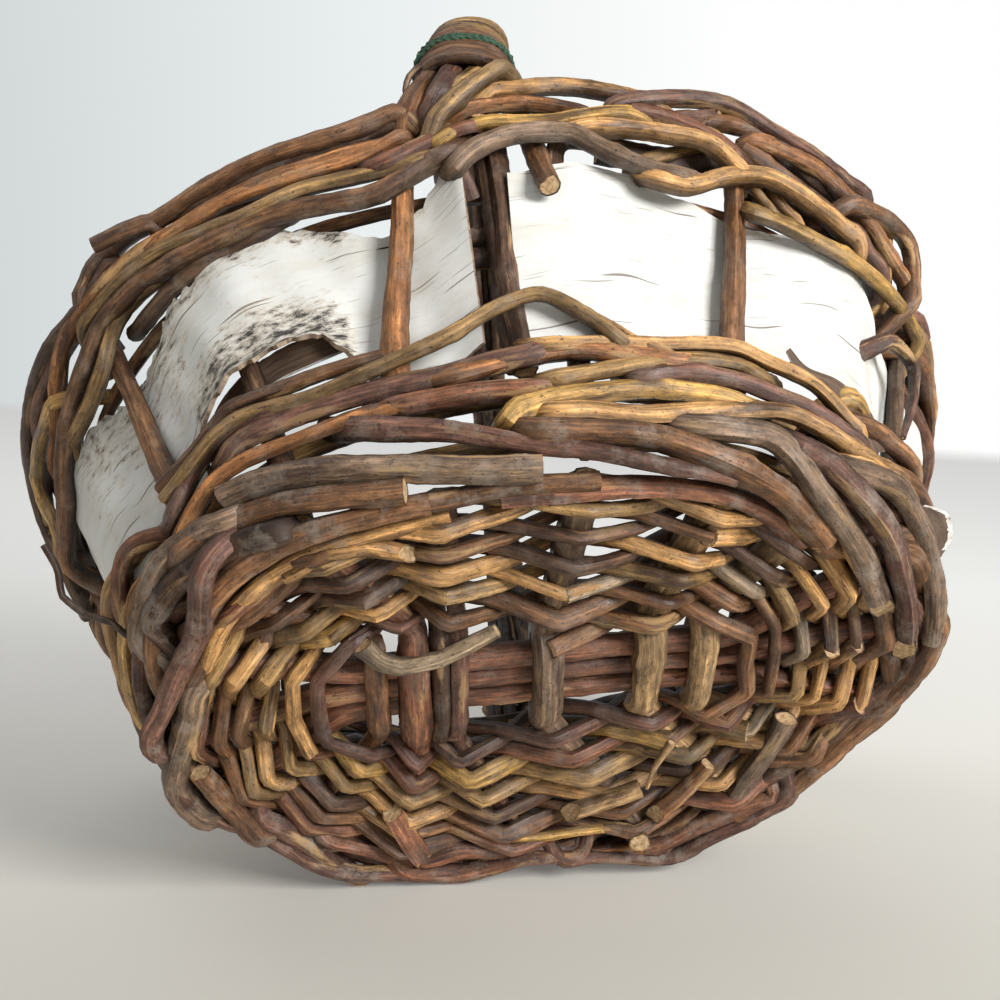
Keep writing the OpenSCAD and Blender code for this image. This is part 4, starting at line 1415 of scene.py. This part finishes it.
def bark_material():
    """The white outer side, with dashes along the strip and grey scabs where it is torn."""
    material, tree, shader = new_material("birch_outside")
    skin = add_node(tree, "ShaderNodeAttribute", attribute_name="skin")
    scab = add_node(tree, "ShaderNodeAttribute", attribute_name="scab")
    cloud = stretched_noise(tree, skin, (45, 110, 1), 5.0, 0.6)
    layer, socket = ramp(tree, cloud, "Fac", [
        (0.3, linear(226, 221, 208)), (0.5, linear(236, 235, 228)), (0.7, linear(243, 243, 239))]), "Color"
    for scale, low, high, depth, colour in (
            ((30, 900, 1), 0.7, 0.73, 0.85, (118, 104, 92)),
            ((70, 1500, 1), 0.72, 0.76, 0.6, (140, 128, 114))):
        dash = stretched_noise(tree, skin, scale, 1.0, 0.4)
        layer = paint_where(tree, layer, socket, dash, "Fac", (low, 0.0), (high, depth), linear(*colour))
        socket = 2
    rough = stretched_noise(tree, skin, (170, 420, 1), 7.0, 0.75)
    level = scaled_sum(tree, scab, "Fac", SCAB_WEIGHT, rough, "Fac")
    for low, high, depth, colour in (
            (0.6, 0.7, 0.5, (206, 186, 160)),
            (0.68, 0.78, 0.75, (128, 122, 112)),
            (0.76, 0.82, 0.95, (44, 42, 38))):
        layer = paint_where(tree, layer, 2, level, 0, (low, 0.0), (high, depth), linear(*colour))
    join(tree, layer, 2, shader, "Base Color")
    shader.inputs["Roughness"].default_value = 0.55
    bump(tree, shader, level, 0, 0.7, 0.5)
    return material


def bark_inside_material(name, dark, light):
    """The brown inner side, with its grain along the strip."""
    material, tree, shader = new_material(name)
    skin = add_node(tree, "ShaderNodeAttribute", attribute_name="skin")
    grain = stretched_noise(tree, skin, (70, 600, 1), 5.0, 0.65)
    tones = ramp(tree, grain, "Fac", [(0.3, linear(*dark)), (0.7, linear(*light))])
    join(tree, tones, "Color", shader, "Base Color")
    shader.inputs["Roughness"].default_value = 0.7
    bump(tree, shader, grain, "Fac", 0.5, 0.4)
    return material


def course(turn, places):
    """Height of a drawn edge at each turn, from places of (turn, height in mm)."""
    turns, heights = zip(*sorted(places))
    return np.interp(turn, turns, heights) * MM


def ragged(turn, seed, size, step=0.7):
    """A torn edge: small random steps along the turn."""
    chance = np.random.default_rng(seed)
    knots = np.arange(-290, 110, step)
    return np.interp(turn, knots, chance.normal(0, size, len(knots)))


def new_sheet(name, grid):
    """A flat grid of side 1, every point of which is then put in its place."""
    bpy.ops.object.select_all(action="DESELECT")
    bpy.ops.mesh.primitive_grid_add(x_subdivisions=grid[0], y_subdivisions=grid[1], size=1)
    piece = bpy.context.object
    piece.name = name
    return piece, piece.data


def thicken(piece, thickness):
    """Gives a sheet its thickness, with a finish for each side and one for the rim."""
    solid = piece.modifiers.new("thickness", "SOLIDIFY")
    solid.thickness = thickness
    solid.offset = 0
    solid.material_offset = 1
    solid.material_offset_rim = 2
    bpy.ops.object.modifier_apply(modifier=solid.name)


def bark_strip(name, node, ends, foot, top, roll, scabs, end_curl, torn, seed):
    """A strip from one end turn to the other. Roll gives the turn, share and height of a rolled tear."""
    piece, mesh = new_sheet(name, STRIP_GRID)
    flat = np.empty(len(mesh.vertices) * 3)
    mesh.vertices.foreach_get("co", flat)
    along, up = flat.reshape(-1, 3)[:, 0] + 0.5, flat.reshape(-1, 3)[:, 1] + 0.5
    skew = (up - 0.5) * (ends[2] * (1 - along) ** 8)
    turn = ends[0] + (ends[1] - ends[0]) * along + skew
    share = course(turn, [(t, s) for t, s, _ in roll]) / MM
    start = course(turn, [(t, z) for t, _, z in roll])
    top_z = course(turn, top) + ragged(turn, seed, torn)
    tail = (start - course(turn, foot)) * (1 - share) + ROLL_TAIL * share
    tail = tail + ragged(turn, seed + 1, 1.3 * MM) * (0.2 + share)
    height = start - tail + (top_z - start + tail) * up
    below = np.maximum(0, start - height)
    curve = np.maximum(share, 1e-3) / ROLL_RADIUS
    z = np.where(height < start, start - np.sin(curve * below) / curve, height)
    out = bark_swing * np.cos(np.pi * (turn - FIRST_STAKE) / STAKE_STEP)
    out = out + (1 - np.cos(curve * below)) / curve
    out = out + 0.7 * MM * np.sin(turn * 0.61 + seed) * np.sin(height / MM * 0.13 + turn * 0.2)
    from_end = np.abs(turn - ends[0])
    out = out + end_curl * np.maximum(0, 1 - from_end / END_CURL_TURNS) ** 2 * (0.35 + 0.65 * up)
    places = np.array([wall(t, h, o) for t, h, o in zip(turn, z, out)])
    mesh.vertices.foreach_set("co", places.ravel())
    length = np.radians(turn) * WALL_RADIUS
    skin = np.column_stack([length, height - length * 0.12, np.full(len(turn), seed * 0.37)])
    set_points(mesh, "skin", "FLOAT_VECTOR", skin)
    scab = share * np.exp(-(np.maximum(0, height - start) / (9 * MM)) ** 2)
    for from_turn, to_turn, amount, reach in scabs:
        inside = np.clip((turn - from_turn) / 3, 0, 1) * np.clip((to_turn - turn) / 3, 0, 1)
        scab = np.maximum(scab, amount * inside * np.exp(-((top_z - height) / (reach * MM)) ** 2))
    set_points(mesh, "scab", "FLOAT", scab)
    mesh.update()
    for material in (birch, birch_inside, birch_edge):
        mesh.materials.append(material)
    if ends[1] < ends[0]:
        bpy.ops.object.mode_set(mode="EDIT")
        bpy.ops.mesh.select_all(action="SELECT")
        bpy.ops.mesh.flip_normals()
        bpy.ops.object.mode_set(mode="OBJECT")
    thicken(piece, BARK_T)
    bpy.ops.object.mode_set(mode="EDIT")
    bpy.ops.mesh.select_all(action="SELECT")
    bpy.ops.mesh.normals_make_consistent(inside=False)
    bpy.ops.object.mode_set(mode="OBJECT")
    bpy.ops.object.shade_smooth_by_angle(angle=math.radians(50))
    stand_for(piece, node)


birch = bark_material()
birch_inside = bark_inside_material("birch_inside", (108, 82, 62), (176, 142, 106))
birch_edge = bark_inside_material("birch_edge", (96, 74, 58), (188, 164, 136))
LEFT_FOOT = [(-90, 44), (-97, 46), (-104, 40), (-110, 43), (-138, 40), (-150, 36), (-161, 36), (-175, 42),
             (-290, 42)]
LEFT_TOP = [(-90, 104), (-95.6, 103), (-98, 96), (-104, 88), (-110, 93), (-114, 97), (-118, 98), (-122, 96),
            (-128, 95),
            (-133, 93), (-141, 87), (-151, 88), (-158, 91), (-290, 88)]
LEFT_ROLL = [(-90, 0, 60), (-109.5, 0, 56), (-112.5, 1, 62), (-116, 1, 68.5), (-121, 1, 66.5),
             (-127.5, 1, 65), (-132, 1, 61.5),
             (-135.5, 1, 57.5), (-138.5, 0, 52), (-290, 0, 52)]
LEFT_SCABS = [(-137, -107, 0.95, 6), (-165, -132, 0.75, 26), (-104, -96, 0.45, 3)]
bark_strip("bark_left", "bark_strip_left", (-95.4, -269.5, 0.8), LEFT_FOOT, LEFT_TOP, LEFT_ROLL, LEFT_SCABS,
           8 * MM,
           0.7 * MM, 5)
RIGHT_FOOT = [(-95, 46), (-84, 40), (-60, 42), (-56, 50), (-52, 48), (-47, 46), (-42, 46), (-36, 40),
              (90, 42)]
RIGHT_TOP = [(-95, 93), (-85, 98.5), (-75, 98.5), (-69, 97), (-62, 94), (-48, 94), (-43, 93), (-38, 88),
             (-20, 86), (90, 86)]
RIGHT_ROLL = [(-95, 0, 60), (90, 0, 60)]
RIGHT_SCABS = [(-62, -40, 0.5, 4), (-30, 90, 0.5, 8)]
bark_strip("bark_right", "bark_strip_right", (-91.2, 82.5, 1.0), RIGHT_FOOT, RIGHT_TOP, RIGHT_ROLL,
           RIGHT_SCABS, 2 * MM,
           0.15 * MM, 9)

# %% [markdown]
# ## What has come loose
# An old basket is never neat. A rod at the right corner has snapped over, the tip of another hangs down below
# it, and at the left a twig and the cut top of a stake stick out. Pieces of bark have torn off and curled.
# Each is a small piece laid where it is seen.

# %% Loose ends
def bark_scrap(name, near, far, outs, lift, node, spot=on_wall, rim=0.0):
    """A small torn piece between two edges of the picture, curled up along its middle.

    Rim is the share along the far edge that shows the white side of the bark.
    """
    piece, mesh = new_sheet(name, SCRAP_GRID)
    edges = []
    for places, out in zip((near, far), outs):
        line, marks = smooth_line([spot(px, py, out * MM) for px, py in places], 0.0, 0.5 * MM)
        edges.append((line, marks / marks[-1]))
    middle = np.mean([line.mean(axis=0) for line, _ in edges], axis=0)
    out_way = np.array([middle[0], middle[1], 0]) / np.linalg.norm(middle[:2])
    chance = np.random.default_rng(len(name))
    columns, blur = SCRAP_GRID[0], 5
    frays = np.convolve(chance.normal(0, 0.04, columns + blur), np.ones(blur) / blur, "valid")
    places, skin = [], []
    for vertex in mesh.vertices:
        along, up = vertex.co.x + 0.5, vertex.co.y + 0.5
        near_end, far_end = (np.array([np.interp(along, marks, line[:, axis]) for axis in range(3)])
                             for line, marks in edges)
        up = up * (1 + frays[round(along * columns)])
        curl = out_way * lift * MM * math.sin(math.pi * min(1, up))
        places.append(near_end + (far_end - near_end) * up + curl)
        skin.append((along * SCRAP_SIZE[0], up * SCRAP_SIZE[1], 3.0))
    mesh.vertices.foreach_set("co", np.array(places).ravel())
    set_points(mesh, "skin", "FLOAT_VECTOR", skin)
    set_points(mesh, "scab", "FLOAT", np.full(len(places), 0.5))
    mesh.update()
    for material in (birch_dark, birch, birch):
        mesh.materials.append(material)
    for face in mesh.polygons:
        height = np.mean([skin[corner][1] for corner in face.vertices])
        face.material_index = int(height > (1 - rim) * SCRAP_SIZE[1])
    thicken(piece, SCRAP_T)
    bpy.ops.object.shade_smooth_by_angle(angle=math.radians(50))
    stand_for(piece, node)


birch_dark = bark_inside_material("birch_dark", (62, 46, 36), (128, 104, 84))
curl_root = on_wall(912, 540, 6 * MM)


def by_curl(px, py, out):
    """Stands in for on_wall: the curl stands off, level with its root."""
    return beside(px, py, curl_root)


bark_scrap("bark_curl", [(912, 506), (910, 535), (914, 568)],
           [(926, 505), (944, 511), (952, 530), (947, 550), (932, 570)], (6, 6), -4, "bark_strip_right",
           by_curl, 0.05)
bark_scrap("bark_sliver", [(786, 352), (800, 374), (830, 391), (858, 424), (873, 455)],
           [(787, 350), (806, 368), (840, 383), (870, 414), (884, 452)], (7, 6), 1, "bark_strip_right")
bark_scrap("bark_lining", [(214, 446), (240, 410), (278, 381), (316, 363), (346, 350)],
           [(205, 436), (224, 398), (258, 362), (296, 342), (334, 332)], (-4, -4), -1, "bark_strip_left")
strays = {
    "snapped_rod": ([(850, 206), (881, 220), (903, 233), (913, 245), (911, 262), (906, 286), (904, 310)],
                    11, 7, 6, "brown", (1, 1), False, "stake_2"),
    "hanging_tip": ([(888, 343), (903, 352), (917, 361), (919, 374), (913, 403), (903, 441)], 11, 7.2, 2,
                    "plum", (1, 0), False, "stake_3"),
    "left_twig": ([(44, 545), (58, 570), (62, 596), (84, 614), (112, 622), (134, 640)], 9, 2.6, 2, "dark",
                  (0, 1), True, "stake_15"),
    "cut_top": ([(150, 222), (122, 233), (93, 246)], 10, 6.4, 5.6, "brown", (1, 0), True, "stake_14"),
}
for number, (label, (*rod_shape, node)) in enumerate(strays.items()):
    rod = seen_rod(*rod_shape)
    draw_rods(label, [rod], node, satin_willow, seed=500 + number, wander=0.3 * MM,
              stiff=0.75)
print("loose pieces:", list(strays))
